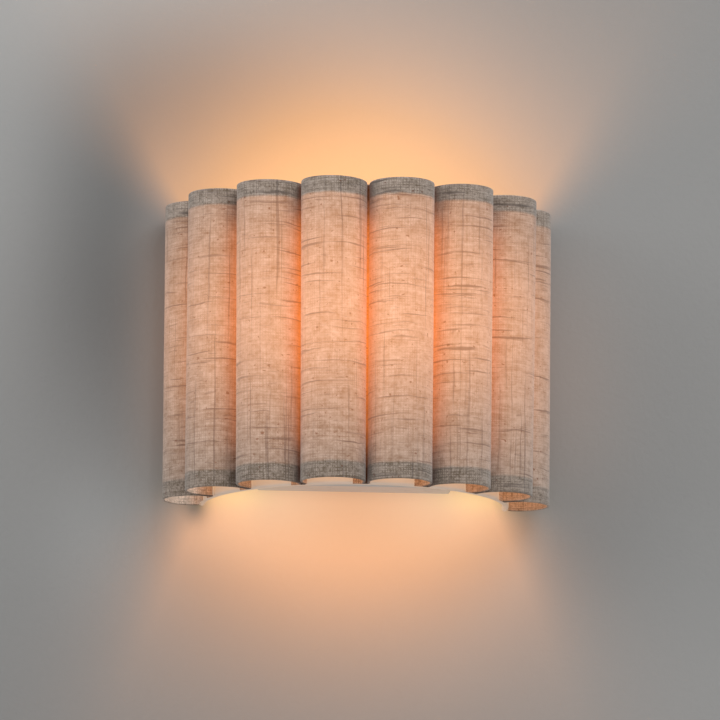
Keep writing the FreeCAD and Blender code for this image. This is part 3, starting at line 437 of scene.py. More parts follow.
class Threads:
    """Patterns of the linen's threads, on the cloth's own flat coordinates in metres."""

    def __init__(self, start, spacing):
        # Threads wander a little across the cloth and are spaced unevenly.
        cloth = start.node("ShaderNodeUVMap", {"uv_map": "UVMap"})
        sway, sag, crowding = 0.0025, 0.005, 0.0035
        across = cloth.part("X") + (cloth.noise((45, 40, 0), detail=3) - 0.5) * sway \
            + (cloth.noise((210, 5, 0), (8, 0, 0)) - 0.5) * crowding
        up = cloth.part("Y") + (cloth.noise((34, 60, 0), (7, 2, 0), 3) - 0.5) * sag \
            + (cloth.noise((6, 210, 0), (3, 6, 0)) - 0.5) * crowding
        woven = start.node("ShaderNodeCombineXYZ", (), {"X": across, "Y": up})
        turns = math.pi / spacing
        warp = (across * turns).sine()
        weft = (up * turns).sine()
        uneven = woven.noise((90, 120, 1), (5, 1, 0), 3).step(0.35, 0.65)
        self.weave = (warp * warp * weft * weft - 0.25) * (uneven * 0.7 + 0.3)

        # Each thread has its own tone.
        self.weft_tones = woven.noise((26, 500, 1), (1, 4, 0), 3, 0.55) - 0.5
        self.warp_tones = woven.noise((500, 13, 1), (9, 2, 0), 3, 0.55) - 0.5
        self.fine = woven.noise((320, 370, 1), (3, 3, 0), 2, 0.55) - 0.5
        self.grit = woven.noise((650, 720, 1), (6, 8, 0), 1) - 0.5
        self.blotches = woven.noise((110, 140, 1), (2, 9, 0), 3) - 0.5
        self.patches = cloth.noise((30, 22, 0), (2, 6, 0), 3) - 0.5

        # Some threads are thick and grey for a stretch, and bits of husk are spun in.
        wefts = woven.noise((17, 440, 1), (4, 8, 0), 2, 0.5).step(0.6, 0.7)
        warps = woven.noise((460, 8, 1), (2, 5, 0), 2, 0.5).step(0.6, 0.71)
        slubs = woven.noise((70, 560, 1), (5, 5, 0), 2, 0.6).step(0.62, 0.72)
        self.thick = (wefts * 0.95 + warps * 0.7 + slubs * 0.5).at_most(1)
        self.specks = woven.noise((300, 380, 1), (1, 5, 0), 1, 0.5).step(0.69, 0.74)

    def height(self):
        """Height of the cloth's face from 0 to 1, for its bumps."""
        tones = (self.weft_tones + self.warp_tones) * 0.4
        return self.weave * 0.6 + self.thick * 0.35 + tones + self.fine * 0.5


class LinenZones:
    """Where a point of the linen lies, each from 0 to 1: in a hem, inside or beside a flute."""

    def __init__(self, finish, hem_width, blotches):
        start = finish.start
        around = start.node("ShaderNodeAttribute", {"attribute_name": AROUND}, output="Fac")
        layer = start.node("ShaderNodeAttribute", {"attribute_name": LAYER}, output="Fac")
        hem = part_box("linen_flute_4")[1].z - hem_width
        unevenness = 0.002
        height = abs(finish.place.part("Z")) + blotches * unevenness
        self.open_cloth = height.step(hem + 0.0008, hem - 0.0016)
        self.near_hem = height.step(hem - 0.024, hem - 0.002)

        # A hem's own face is 2 layers behind the linen's back, and a tucked tab is at TUCKED.
        self.inside = (layer.step(-1.4, -1.9) + around.step(-4, -5)).at_most(1)
        self.outside = 1 - self.inside

        # Neighbouring flutes come closest about 1.8 radians round from their crowns.
        self.deep = abs(around).step(0.75, 1.5)
        # The clefts are the valleys between neighbouring hems, where the linen gets painted shade and a
        # little glow.
        self.cleft = abs(around).step(1.3, 1.75) * (1 - self.open_cloth) * self.outside
        self.left_end = finish.place.part("X").step(-0.1, -0.117)


def linen_daylight(place, threads, zones, colours):
    """Palest share of the threads, from 0 to 1, with painted daylight on the right, and the linen's
    colour in daylight, with painted shade in the hems and clefts.
    """
    x, z = place.part("X"), place.part("Z")
    # The threads' own tones, with the right side painted paler and more so lower down: painted
    # daylight.
    pale = 0.54 + threads.weft_tones * 0.75 + threads.warp_tones * 0.55 + threads.fine * 0.9 \
        + threads.blotches + threads.weave * (0.65 - zones.open_cloth * 0.25) \
        + threads.grit * (1.1 - zones.open_cloth * 0.6) + x.at_least(0) * (0.9 - z * 7)
    pale = pale.at_least(0).at_most(1)

    # A hem is two layers of linen, painted darker, the lower hem more: painted shade.
    hem_shade = (1 - zones.open_cloth) * (0.11 - z * 0.8)
    base = (pale - hem_shade * 1.2).blend(colours.dark_linen, colours.pale_linen)
    base = (threads.thick * 0.85).blend(base, colours.slub)
    base = (threads.specks * 0.75).blend(base, colours.speck)
    # Painted shade darkens the linen in the clefts.
    return pale, base.times(1 - zones.cleft * 0.65)


def linen_glow(place, threads, zones, colours, pale):
    """Lamplight of the linen: through it from behind, in the clefts and inside the flutes, where the
    left-end flutes also get painted daylight and the valleys painted shade.
    """
    light = lamplight(place)
    # The glow is dimmed in the valleys, most near the hems: painted shade.
    share = light * zones.open_cloth * (1 - zones.deep * (0.1 + zones.near_hem * 0.6)) * zones.outside
    glow = share * (0.92 + pale * 0.14 + threads.patches * 0.22) * (1 - threads.thick * 0.3) \
        * (1 - threads.specks * 0.25) + light * zones.cleft * 0.2
    through = zones.deep.blend(colours.glow, colours.deep_glow).times(glow)
    # Inside the flutes at the viewer's left end the light is painted brighter and paler: painted
    # daylight as well as lamplight.
    inside = lamplight(place, 1.8) * zones.inside * (0.25 + pale * 0.35) * (1 + zones.left_end)
    inside = zones.left_end.blend(colours.glow, colours.end_glow).times(inside)
    return place.vector("ADD", through, inside)


def linen_finish(settings, colours):
    """Plain-woven linen with slubs and specks, lit from behind between its two hems."""
    finish = Finish("linen_weave", Roughness=0.9, Sheen_Weight=0.35, Sheen_Roughness=0.6,
                    Specular_IOR_Level=0.2)
    threads = Threads(finish.start, settings.thread)
    zones = LinenZones(finish, settings.hem, threads.blotches)
    pale, base = linen_daylight(finish.place, threads, zones, colours)
    finish.feed(
        Base_Color=base,
        Emission_Color=linen_glow(finish.place, threads, zones, colours, pale),
        Emission_Strength=1.0,
    )
    finish.bump(threads.height(), 0.00025)
    return finish.material


def film_finish(colours, name, share):
    """White laminated film, with a share of the lamplight coming through it below its rims."""
    finish = Finish(name, Roughness=0.5, Specular_IOR_Level=0.35)
    place = finish.place
    cloud = place.noise((60, 60, 60), detail=3)
    grain = place.noise((1400, 1400, 1400), (3, 0, 0))
    head, dim_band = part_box("shade_liner")[1].z, 0.0245
    rim = abs(place.part("Z")).step(head - dim_band, head)
    lit = lamplight(place, 1.8) * share * (0.9 + cloud * 0.2) * (1 - rim * 0.5)
    finish.feed(
        Base_Color=(cloud * 0.1 + grain * 0.06 + 0.9).tint(colours.film),
        Roughness=0.42 + grain * 0.2,
        Emission_Color=lit.tint(colours.inner_glow),
        Emission_Strength=1.0,
    )
    finish.bump(grain * 0.5 + cloud, 0.00012)
    return finish.material


def painted_finish(name, colour, rub=0.0):
    """Stoved paint with fine orange peel, dulled here and there by handling."""
    finish = Finish(name, Roughness=0.4, Coat_Weight=0.15, Coat_Roughness=0.25)
    place = finish.place
    peel = place.noise((900, 900, 900), detail=1)
    wear = place.noise((45, 45, 45), (4, 9, 1), 4, 0.6)
    dust = place.noise((160, 160, 160), (8, 2, 5), 3, 0.6).step(0.55, 0.75)
    finish.feed(
        Base_Color=(dust * (0.18 + rub)).blend(
            (wear * 0.12 + 0.93).tint(colour), [channel * 0.72 for channel in colour[:3]]),
        Roughness=0.34 + wear * 0.16 + dust * 0.15,
    )
    finish.bump(peel, 0.00006)
    return finish.material


def plated_finish(name, colour, roughness=0.3, scales=(30, 30, 900)):
    """Plated metal with fine tool marks along one way and clouded patches."""
    finish = Finish(name, Metallic=1.0)
    place = finish.place
    marks = place.noise(scales, detail=3, roughness=0.6)
    bloom = place.noise((120, 120, 120), (6, 1, 3), 4, 0.6)
    stain = bloom.step(0.55, 0.8)
    finish.feed(
        Base_Color=(stain * 0.35).blend(
            (marks * 0.16 + 0.88).tint(colour), [channel * 0.55 for channel in colour[:3]]),
        Roughness=roughness + marks * 0.12 + stain * 0.2,
    )
    finish.bump(marks, 0.00003)
    return finish.material


def moulded_finish(name, colour, roughness=0.4, grain=700, depth=0.00004):
    """Moulded plastic or rubber with a fine spark-eroded grain and a little dust."""
    finish = Finish(name, Specular_IOR_Level=0.45)
    place = finish.place
    texture = place.noise((grain, grain, grain), detail=2)
    flow = place.noise((70, 70, 30), (2, 7, 4), 3, 0.6)
    finish.feed(
        Base_Color=(flow * 0.12 + texture * 0.08 + 0.9).tint(colour),
        Roughness=roughness + texture * 0.12 + flow * 0.1,
    )
    finish.bump(texture, depth)
    return finish.material


def earth_sleeve_finish(colours):
    """Green and yellow halves of the earth wire's sleeve."""
    finish = Finish("earth_sleeve", Roughness=0.42)
    normal = finish.start.node("ShaderNodeNewGeometry", output="Normal")
    side = normal.part("Z") * 0.6 + normal.part("X") * 0.8
    grain = finish.place.noise((600, 600, 600))
    half = (side + (grain - 0.5) * 0.1).step(-0.06, 0.06)
    finish.feed(
        Base_Color=half.blend(colours.earth_green, colours.earth_yellow),
        Roughness=0.36 + grain * 0.14,
    )
    finish.bump(grain, 0.00003)
    return finish.material


def opal_finish(colours):
    """Lit opal glass, brightest in the middle and a little thinner-skinned at the neck."""
    finish = Finish("lit_opal", Roughness=0.22, Coat_Weight=0.4, Coat_Roughness=0.05)
    place = finish.place
    low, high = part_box("bulb_globe")
    neck = place.part("Z").step(low.z, low.z + 0.35 * (high.z - low.z))
    cloud = place.noise((80, 80, 80), detail=3)
    finish.feed(
        Base_Color=(0.86 + cloud * 0.1).tint(colours.opal),
        Emission_Color=((0.55 + neck * 0.4) * (0.92 + cloud * 0.16)).tint(colours.globe),
        Emission_Strength=1.0,
    )
    return finish.material


# Linen and film of the flutes

def cloth_tree():
    """Tree that sweeps a section along a flute's path, then leans and ripples the cloth."""
    tree = bpy.data.node_groups.new("flute_cloth", "GeometryNodeTree")
    inputs = {
        "Path": "Geometry", "Section": "Object", "Height": "Float", "Thickness": "Float",
        "Hem": "Float", "Foot Shift": "Vector", "Head Shift": "Vector", "Ripple": "Float",
        "Seed": "Float", "Material": "Material",
    }
    for name, kind in inputs.items():
        tree.interface.new_socket(name, in_out="INPUT", socket_type=f"NodeSocket{kind}")
    tree.interface.new_socket("Cloth", in_out="OUTPUT", socket_type="NodeSocketGeometry")
    entry = tree.nodes.new("NodeGroupInput")
    given = {name: Flow(tree, entry.outputs[name]) for name in inputs}
    start = Flow(tree)

    def stored(name, kind="FLOAT"):
        return start.node("GeometryNodeInputNamedAttribute", {"data_type": kind}, {"Name": name})

    section = start.node("GeometryNodeObjectInfo", (), {"Object": given["Section"]}, "Geometry")
    cloth = start.node("GeometryNodeCurveToMesh", (), {
        "Curve": start.node("GeometryNodeMeshToCurve", (), {"Mesh": given["Path"]}),
        "Profile Curve": start.node("GeometryNodeMeshToCurve", (), {"Mesh": section}),
        "Fill Caps": True,
    })

    # The hems lie flat where they aren't folded in, on the tabs.
    layer = stored(LAYER)
    folded = stored(FOLDED)
    layer = layer * folded + layer.at_least(0) * (1 - folded)
    level = stored(LEVEL, "FLOAT_VECTOR")
    inset = level.part("Y") * given["Thickness"] + level.part("Z") * given["Hem"]
    rise = level.part("X") * (given["Height"] / 2 - inset)
    side = stored(SIDE, "FLOAT_VECTOR")
    spot = start.vector("ADD", stored(PLACE, "FLOAT_VECTOR"), side.times(layer * given["Thickness"]))
    upright = start.node("ShaderNodeCombineXYZ", (), {"Z": rise})

    # The tabs stay on the liner, and the crowns lean and ripple the most. The seed gives each flute
    # waves of its own.
    held = LINER_FACE + 0.001
    reach = start.vector("SUBTRACT", spot, SHADE_AXIS).length()
    free = reach.step(held, FLUTE_CENTRE + FLUTE_RADIUS)
    share = rise / given["Height"] + 0.5
    lean = start.vector("ADD", given["Head Shift"].times(share), given["Foot Shift"].times(1 - share))
    origin = start.node("ShaderNodeCombineXYZ", (), {"X": given["Seed"] * 3.7, "Y": given["Seed"]})
    body = start.vector("ADD", spot, upright)
    wave = (body.noise((24, 24, 18), origin, 1) - 0.5) * given["Ripple"] * 2
    moved = start.vector("ADD", lean.times(free), side.times(wave * free))
    cloth = start.node("GeometryNodeSetPosition", (), {
        "Geometry": cloth,
        "Position": start.vector("ADD", body, moved),
    })

    # Each flute is cut from a stretch of linen of its own.
    stretch = 0.23
    cloth = start.node("GeometryNodeStoreNamedAttribute", {"data_type": "FLOAT2", "domain": "CORNER"}, {
        "Geometry": cloth,
        "Name": "UVMap",
        "Value": start.node("ShaderNodeCombineXYZ", (), {
            "X": given["Seed"] * stretch + stored(ALONG),
            "Y": rise,
        }),
    })

    # The two flat ends, which have many corners, stay flat.
    corners = start.node("GeometryNodeInputMeshFaceNeighbors")
    cloth = start.node("GeometryNodeSetShadeSmooth", (), {
        "Geometry": cloth,
        "Shade Smooth": corners.maths("LESS_THAN", corners, 5),
    })
    cloth = start.node("GeometryNodeRealizeInstances", (), {"Geometry": cloth})
    cloth = start.node("GeometryNodeSetMaterial", (), {
        "Geometry": cloth,
        "Material": given["Material"],
    })
    tree.links.new(cloth.socket, tree.nodes.new("NodeGroupOutput").inputs["Cloth"])
    return tree


def wire_object(name, lines, closed, values):
    """Mesh of bare edges along lines of points, with a named value at each point."""
    mesh = bpy.data.meshes.new(name)
    edges, count = [], 0
    for line in lines:
        last = len(line) if closed else len(line) - 1
        edges += [(count + step, count + (step + 1) % len(line)) for step in range(last)]
        count += len(line)
    mesh.from_pydata([point for line in lines for point in line], edges, [])
    for label, numbers in values.items():
        if isinstance(numbers[0], float):
            mesh.attributes.new(label, "FLOAT", "POINT").data.foreach_set("value", numbers)
        else:
            flat = [part for vector in numbers for part in vector]
            mesh.attributes.new(label, "FLOAT_VECTOR", "POINT").data.foreach_set("vector", flat)
    made = bpy.data.objects.new(name, mesh)
    bpy.context.scene.collection.objects.link(made)
    return made


def section_object(name, points):
    """Closed section of a cloth, from (layer, half, rims, hems) points.

    A layer is one cloth thickness outwards from the film's face. Half runs from -1 at the foot to 1
    at the head, and rims and hems count the thicknesses and hem widths in from there. The section is
    drawn in thicknesses, with a rough height and hem that the cloth tree replaces.
    """
    rough_half, rough_hem = 200, 20
    ring = [(layer, half * (rough_half - rims - rough_hem * hems), 0.0)
            for layer, half, rims, hems in points]
    return wire_object(name, [ring], True, {
        LAYER: [float(point[0]) for point in points],
        LEVEL: [point[1:] for point in points],
    })


def linen_section():
    """Outer face, rolled rims and both hems of the linen, in one closed line.

    Each rim is rolled round the film's middle, half a thickness behind the linen, and its hem lies
    on the film's other face.
    """
    wide, narrow, film = 1.5, 0.5, -0.5
    outer = [(1.0, 2 * row / ROWS - 1, wide, 0.0) for row in range(ROWS + 1)]
    inner = [(0.0, half, rims, hems) for _, half, rims, hems in reversed(outer)]
    turns = [math.pi * step / 8 for step in range(1, 8)]
    shares = [step / 4 for step in range(5)]
    head = [(film + wide * math.cos(turn), 1.0, wide - wide * math.sin(turn), 0.0) for turn in turns]
    head += [(film - wide, 1.0, wide * (1 - share), share) for share in shares]
    head += [(film - narrow, 1.0, wide * (1 - share), share) for share in reversed(shares)]
    head += [(film + narrow * math.cos(turn), 1.0, wide - narrow * math.sin(turn), 0.0)
             for turn in reversed(turns)]
    foot = [(layer, -half, rims, hems) for layer, half, rims, hems in reversed(head)]
    return section_object("linen_section", outer + head + inner + foot)


def film_section():
    """Plain strip of film that stops just short of the linen's rolled rims."""
    slack, short = 0.04, 1.2
    outer = [(-slack, 2 * row / ROWS - 1, short, 0.0) for row in range(ROWS + 1)]
    inner = [(slack - 1, half, rims, hems) for _, half, rims, hems in reversed(outer)]
    return section_object("film_section", outer + inner)


class FlutePath:
    """Line between a flute's linen and its film, seen from above: tab, bend, tube and foot."""

    def __init__(self, number):
        turn = math.radians(180 / FLUTES * (number - 0.5) - 90)
        self.right = Vector((math.cos(turn), math.sin(turn), 0.0))
        self.out = Vector((math.sin(turn), -math.cos(turn), 0.0))
        self.middle = SHADE_AXIS + self.out * FLUTE_CENTRE
        self.lines, self.sides, self.around, self.folded, self.along = [], [], [], [], []

    def way(self, angle):
        """Direction at an angle from straight out, towards the viewer's right."""
        return self.right * math.sin(angle) + self.out * math.cos(angle)

    def line(self, points, start=0.0):
        """Add a line of (place, side, angle round the flute, 1 where hems are folded in) points."""
        places = [place for place, *_ in points]
        self.lines.append(places)
        run = start
        for index, (place, side, around, folded) in enumerate(points):
            run += (place - places[max(index - 1, 0)]).length
            self.along.append(run)
            self.sides.append(side)
            self.around.append(float(around))
            self.folded.append(float(folded))

    def tube_angle(self, level):
        """Angle round the flute at which its tube comes down to a level over the shade's axis."""
        squares = level ** 2 - FLUTE_CENTRE ** 2 - FLUTE_RADIUS ** 2
        return math.acos(squares / (2 * FLUTE_CENTRE * FLUTE_RADIUS))

    def shade_angle(self, level, radius):
        """Angle round the shade's axis at which a level meets a circle about the flute's middle."""
        return math.acos((level ** 2 + FLUTE_CENTRE ** 2 - radius ** 2) / (2 * level * FLUTE_CENTRE))

    def tube(self, first, last, cut_first=False):
        """Points of the tube, whose last end is cut level with the liner, and its first if asked."""
        steps = 72
        points = []
        for step in range(steps + 1):
            angle = first + (last - first) * step / steps
            side = self.way(angle)
            place = self.middle + side * FLUTE_RADIUS
            if step == steps or (step == 0 and cut_first):
                rise = (place - SHADE_AXIS).normalized()
                level = (side - rise * side.dot(rise)).normalized()
                side = level / level.dot(side)
            points.append((place, side, angle, 1))
        return points

    def tab(self, settings):
        """Points of the tab on the liner and of its bend into the tube, and where the tube starts."""
        level = LINER_FACE + settings.thickness
        lean = -self.shade_angle(level + settings.bend, FLUTE_RADIUS + settings.bend)
        centre = SHADE_AXIS + self.way(lean) * (level + settings.bend)
        away = centre - self.middle
        first = math.atan2(away.dot(self.right), away.dot(self.out))
        steps, tucked = 8, 6
        points = []
        for step in range(steps + 1):
            angle = lean - settings.tab / level * (1 - step / steps)
            around = TUCKED if step < tucked else first
            points.append((SHADE_AXIS + self.way(angle) * level, self.way(angle), around, 0))
        for step in range(1, steps):
            angle = lean + (first - lean) * step / steps
            points.append((centre - self.way(angle) * settings.bend, self.way(angle), first, 0))
        return points, first

    def strip(self, settings):
        """Points of the first flute's tab, which lies on the liner inside the flute."""
        level = LINER_FACE + settings.thickness
        inside = FLUTE_RADIUS - 2 * settings.thickness - STRIP_GAP
        start = -self.shade_angle(level, inside)
        steps = 16
        points = []
        for step in range(steps + 1):
            angle = start + settings.end_tab / level * step / steps
            points.append((SHADE_AXIS + self.way(angle) * level, self.way(angle), TUCKED, 0))
        return points

    def made(self, name):
        """Mesh of bare edges along the path."""
        return wire_object(name, self.lines, False, {
            PLACE: [place for line in self.lines for place in line],
            SIDE: self.sides,
            ALONG: self.along,
            AROUND: self.around,
            FOLDED: self.folded,
        })


def flute_path(settings, number):
    """Path of one flute. The last flute stands on the liner, and the rest on the next one's tab."""
    path = FlutePath(number)
    layers = 0 if number == FLUTES else 2
    last = path.tube_angle(LINER_FACE + layers * settings.thickness + GLUE_GAP)
    if number == 1:
        path.line(path.tube(-path.tube_angle(LINER_FACE + GLUE_GAP), last, cut_first=True))
        path.line(path.strip(settings), path.along[-1])
    else:
        tab, first = path.tab(settings)
        path.line(tab + path.tube(first, last))
    return path


def swept(name, path, section, tree, values):
    """Plain mesh of a section swept along a path by the cloth tree."""
    carrier = path.made(f"{name}_path")
    modifier = carrier.modifiers.new("sweep", "NODES")
    modifier.node_group = tree
    values["Section"] = section
    for socket in tree.interface.items_tree:
        if socket.name in values:
            modifier[socket.identifier] = values[socket.name]
    bpy.context.view_layer.update()
    evaluated = carrier.evaluated_get(bpy.context.evaluated_depsgraph_get())
    mesh = bpy.data.meshes.new_from_object(evaluated)
    bpy.data.objects.remove(carrier)
    if not mesh.polygons:
        raise RuntimeError(f"{name} came out empty")
    for label in (PLACE, SIDE, ALONG, FOLDED, LEVEL):
        mesh.attributes.remove(mesh.attributes[label])
    outward(mesh)
    mesh.name = name
    piece = bpy.data.objects.new(name, mesh)
    bpy.context.scene.collection.objects.link(piece)
    return piece


def outward(mesh):
    """Turn a closed mesh's faces outwards."""
    shape = bmesh.new()
    shape.from_mesh(mesh)
    if shape.calc_volume(signed=True) < 0:
        bmesh.ops.reverse_faces(shape, faces=shape.faces)
    shape.to_mesh(mesh)
    shape.free()


class WALLLIGHT_OT_flutes(bpy.types.Operator):
    """Sweep the linen of the eight flutes and the white film behind it"""

    bl_idname = "wall_light.flutes"
    bl_label = "Linen Flutes"

    def execute(self, context):
        settings = context.scene.cloth_sizes
        colours = context.scene.light_colours
        tree = cloth_tree()
        sections = {"linen": linen_section(), "film": film_section()}
        finishes = {
            "linen": linen_finish(settings, colours),
            "film": film_finish(colours, "flute_film", share=0.8),
        }
        low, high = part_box("linen_flute_4")
        height = high.z - low.z
        layers = (("film", "flute_backing", "white_film"), ("linen", "linen_flute", "linen"))
        for number, (foot, head) in enumerate(LEANS, 1):
            for kind, node, slot in layers:
                path = flute_path(settings, number)

                # The film has no hems, and keeps its thickness on the tabs.
                if kind == "film":
                    path.folded = [1.0] * len(path.folded)
                piece = swept(f"{kind}_{number}", path, sections[kind], tree, {
                    "Height": height,
                    "Thickness": settings.thickness,
                    "Hem": settings.hem,
                    "Foot Shift": (foot, 0.0, 0.0),
                    "Head Shift": (head, 0.0, 0.0),
                    "Ripple": settings.ripple,
                    "Seed": float(settings.seed + number),
                    "Material": finishes[kind],
                })
                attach(piece, "shade")
                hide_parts(f"{node}_{number}")
        for section in sections.values():
            bpy.data.objects.remove(section)
        return {"FINISHED"}


# Rigid parts

def dress(material, *names):
    """Give CAD nodes a finish."""
    for name in names:
        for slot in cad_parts[name].material_slots:
            slot.material = material


class WALLLIGHT_OT_shade_frame(bpy.types.Operator):
    """Finish the white liner and the wire frame that carries the flutes"""

    bl_idname = "wall_light.shade_frame"
    bl_label = "Liner and Frame"

    def execute(self, context):
        colours = context.scene.light_colours
        dress(film_finish(colours, "liner_film", share=0.66), "shade_liner")
        dress(painted_finish("frame_paint", colours.paint, rub=0.1), "top_hoop", "bottom_hoop",
              "upright_left", "upright_right", "hanger_left", "hanger_right", "foot_left", "foot_right")
        bumper = moulded_finish("clear_bumper", colours.bumper, roughness=0.3, grain=900, depth=0.00002)
        dress(bumper, "bumper_left", "bumper_right")
        return {"FINISHED"}


class WALLLIGHT_OT_back_box(bpy.types.Operator):
    """Finish the wall bracket, the back box and their fixings"""

    bl_idname = "wall_light.back_box"
    bl_label = "Back Box and Fixings"

    def execute(self, context):
        colours = context.scene.light_colours
        dress(painted_finish("box_paint", colours.paint), "back_box")
        dress(painted_finish("nut_paint", colours.paint, rub=0.2), "cap_nut_washers", "cap_nuts",
              "block_screw")
        sheet = plated_finish("zinc_sheet", colours.zinc, roughness=0.34, scales=(700, 30, 30))
        dress(sheet, "wall_bracket")
        bar = plated_finish("zinc_bar", colours.zinc, roughness=0.28, scales=(500, 60, 500))
        dress(bar, "fixing_studs", "shade_stud_left", "shade_stud_right", "shade_stud_nuts")
        return {"FINISHED"}


class WALLLIGHT_OT_wiring(bpy.types.Operator):
    """Finish the terminal block, the earth point, the grommet and the three wires"""

    bl_idname = "wall_light.wiring"
    bl_label = "Wiring"

    def execute(self, context):
        colours = context.scene.light_colours
        brass = plated_finish("brass_screw", colours.brass, roughness=0.26, scales=(500, 500, 60))
        dress(brass, "terminal_screws", "earth_tag", "earth_screw")
        for name, node, colour, roughness, grain, depth in (
            ("block_nylon", "terminal_block", colours.plastic, 0.36, 500, 0.00003),
            ("grommet_rubber", "wire_grommet", colours.rubber, 0.6, 800, 0.00004),
            ("live_sleeve", "live_wire", colours.live, 0.36, 600, 0.00003),
            ("neutral_sleeve", "neutral_wire", colours.neutral, 0.36, 600, 0.00003),
        ):
            dress(moulded_finish(name, colour, roughness, grain, depth), node)
        dress(earth_sleeve_finish(colours), "earth_wire")
        return {"FINISHED"}


class WALLLIGHT_OT_lampholder(bpy.types.Operator):
    """Finish the arm, its screws and the lampholder"""

    bl_idname = "wall_light.lampholder"
    bl_label = "Arm and Lampholder"

    def execute(self, context):
        colours = context.scene.light_colours
        dress(painted_finish("arm_paint", colours.paint, rub=0.15), "holder_arm", "arm_screws")
        thread = plated_finish("zinc_thread", colours.zinc, roughness=0.3, scales=(60, 60, 1500))
        dress(thread, "arm_nuts", "holder_nipple", "nipple_nut", "holder_locknut")
        moulding = moulded_finish("holder_moulding", colours.plastic, roughness=0.34, grain=800,
                                  depth=0.00003)
        dress(moulding, "holder_base", "holder_core", "holder_shell")
        brass = plated_finish("brass_contact", colours.brass, roughness=0.24, scales=(60, 60, 900))
        dress(brass, "screw_shell", "centre_contact")
        return {"FINISHED"}


class WALLLIGHT_OT_bulb(bpy.types.Operator):
    """Finish the bulb and light it"""

    bl_idname = "wall_light.bulb"
    bl_label = "Bulb"

    def execute(self, context):
        colours = context.scene.light_colours
        dress(opal_finish(colours), "bulb_globe")
        collar = moulded_finish("bulb_collar", colours.collar, roughness=0.3, grain=800, depth=0.00002)
        dress(collar, "bulb_collar")
        nickel = plated_finish("bulb_cap", colours.nickel, roughness=0.22, scales=(60, 60, 900))
        dress(nickel, "bulb_cap")
        glass = moulded_finish("black_glass", colours.black_glass, roughness=0.15, grain=400,
                               depth=0.00002)
        dress(glass, "bulb_insulator")
        brass = plated_finish("bulb_contact", colours.brass, roughness=0.3, scales=(300, 300, 300))
        dress(brass, "bulb_contact")

        # The lamp is a little wider than the globe, so that it shines from outside the glass.
        view = context.scene.view_settings_of_light
        low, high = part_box("bulb_globe")
        lamp = bpy.data.lights.new("lit_bulb", "POINT")
        lamp.energy = view.lamp
        lamp.color = view.lamp_colour
        lamp.shadow_soft_size = (high.x - low.x) / 2 + 0.001
        made = bpy.data.objects.new("lit_bulb", lamp)
        made.location = middle_of("bulb_globe")
        context.scene.collection.objects.link(made)
        return {"FINISHED"}


# Room and camera

def room_finish(name, colour, grain, depth, cover=None):
    """Matt paint that is seen from its front only, and left out behind a part that covers it."""
    finish = Finish(name, Roughness=0.9, Specular_IOR_Level=0.1)
    start = finish.start
    cloud = finish.place.noise((2.2, 2.2, 2.2), detail=2)
    finish.feed(Base_Color=(cloud * 0.08 + 0.96).tint(colour))
    finish.bump(finish.place.noise((grain, grain, grain), detail=3), depth)
    missing = start.node("ShaderNodeNewGeometry", output="Backfacing")
    if cover:
        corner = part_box(cover)[1]
        across, up = [
            abs(finish.place.part(axis)).step(half - 0.001, half - 0.002)
            for axis, half in (("X", corner.x), ("Z", corner.z))
        ]
        missing = (missing + across * up).at_most(1)
    clear = start.node("ShaderNodeBsdfTransparent")
    shown = start.node("ShaderNodeMixShader", (), {
        0: missing,
        1: Flow(start.tree, finish.shader.outputs[0]),
        2: clear,
    })
    start.tree.links.new(shown.socket, start.tree.nodes["Material Output"].inputs["Surface"])
    return finish


def beam(x, z, half, level, far, power, limit, slope, edge, blur):
    """Light on the wall from one open end of the shade, strongest at the shade's rim.

    It fades with the distance from a lamp at a level and a distance in front of the wall, up to a
    limit. Past half the opening's width its edge slopes away, and blurs more the further it is.
    """
    sunk, full, full_square = 0.021, 9, 0.02
    beside = (abs(x) - half).at_least(0)
    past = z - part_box("shade_liner")[1].z + sunk - beside * slope
    rise = z - level
    glow = full * (full_square / (x * x + rise * rise + far * far)) ** power
    glow = glow / (1 + (glow / limit) ** 4) ** 0.25
    return glow * (past / (edge + beside * blur)).step(-1, 1)


def hump(place, x, z, width, height):
    """1 at a place on the wall, fading out evenly over a width and a height."""
    away = place.vector("SUBTRACT", place, (x, 0.0, z))
    away = away.vector("DIVIDE", away, (width, 1.0, height)).length()
    return (away * away * -1).exponential()


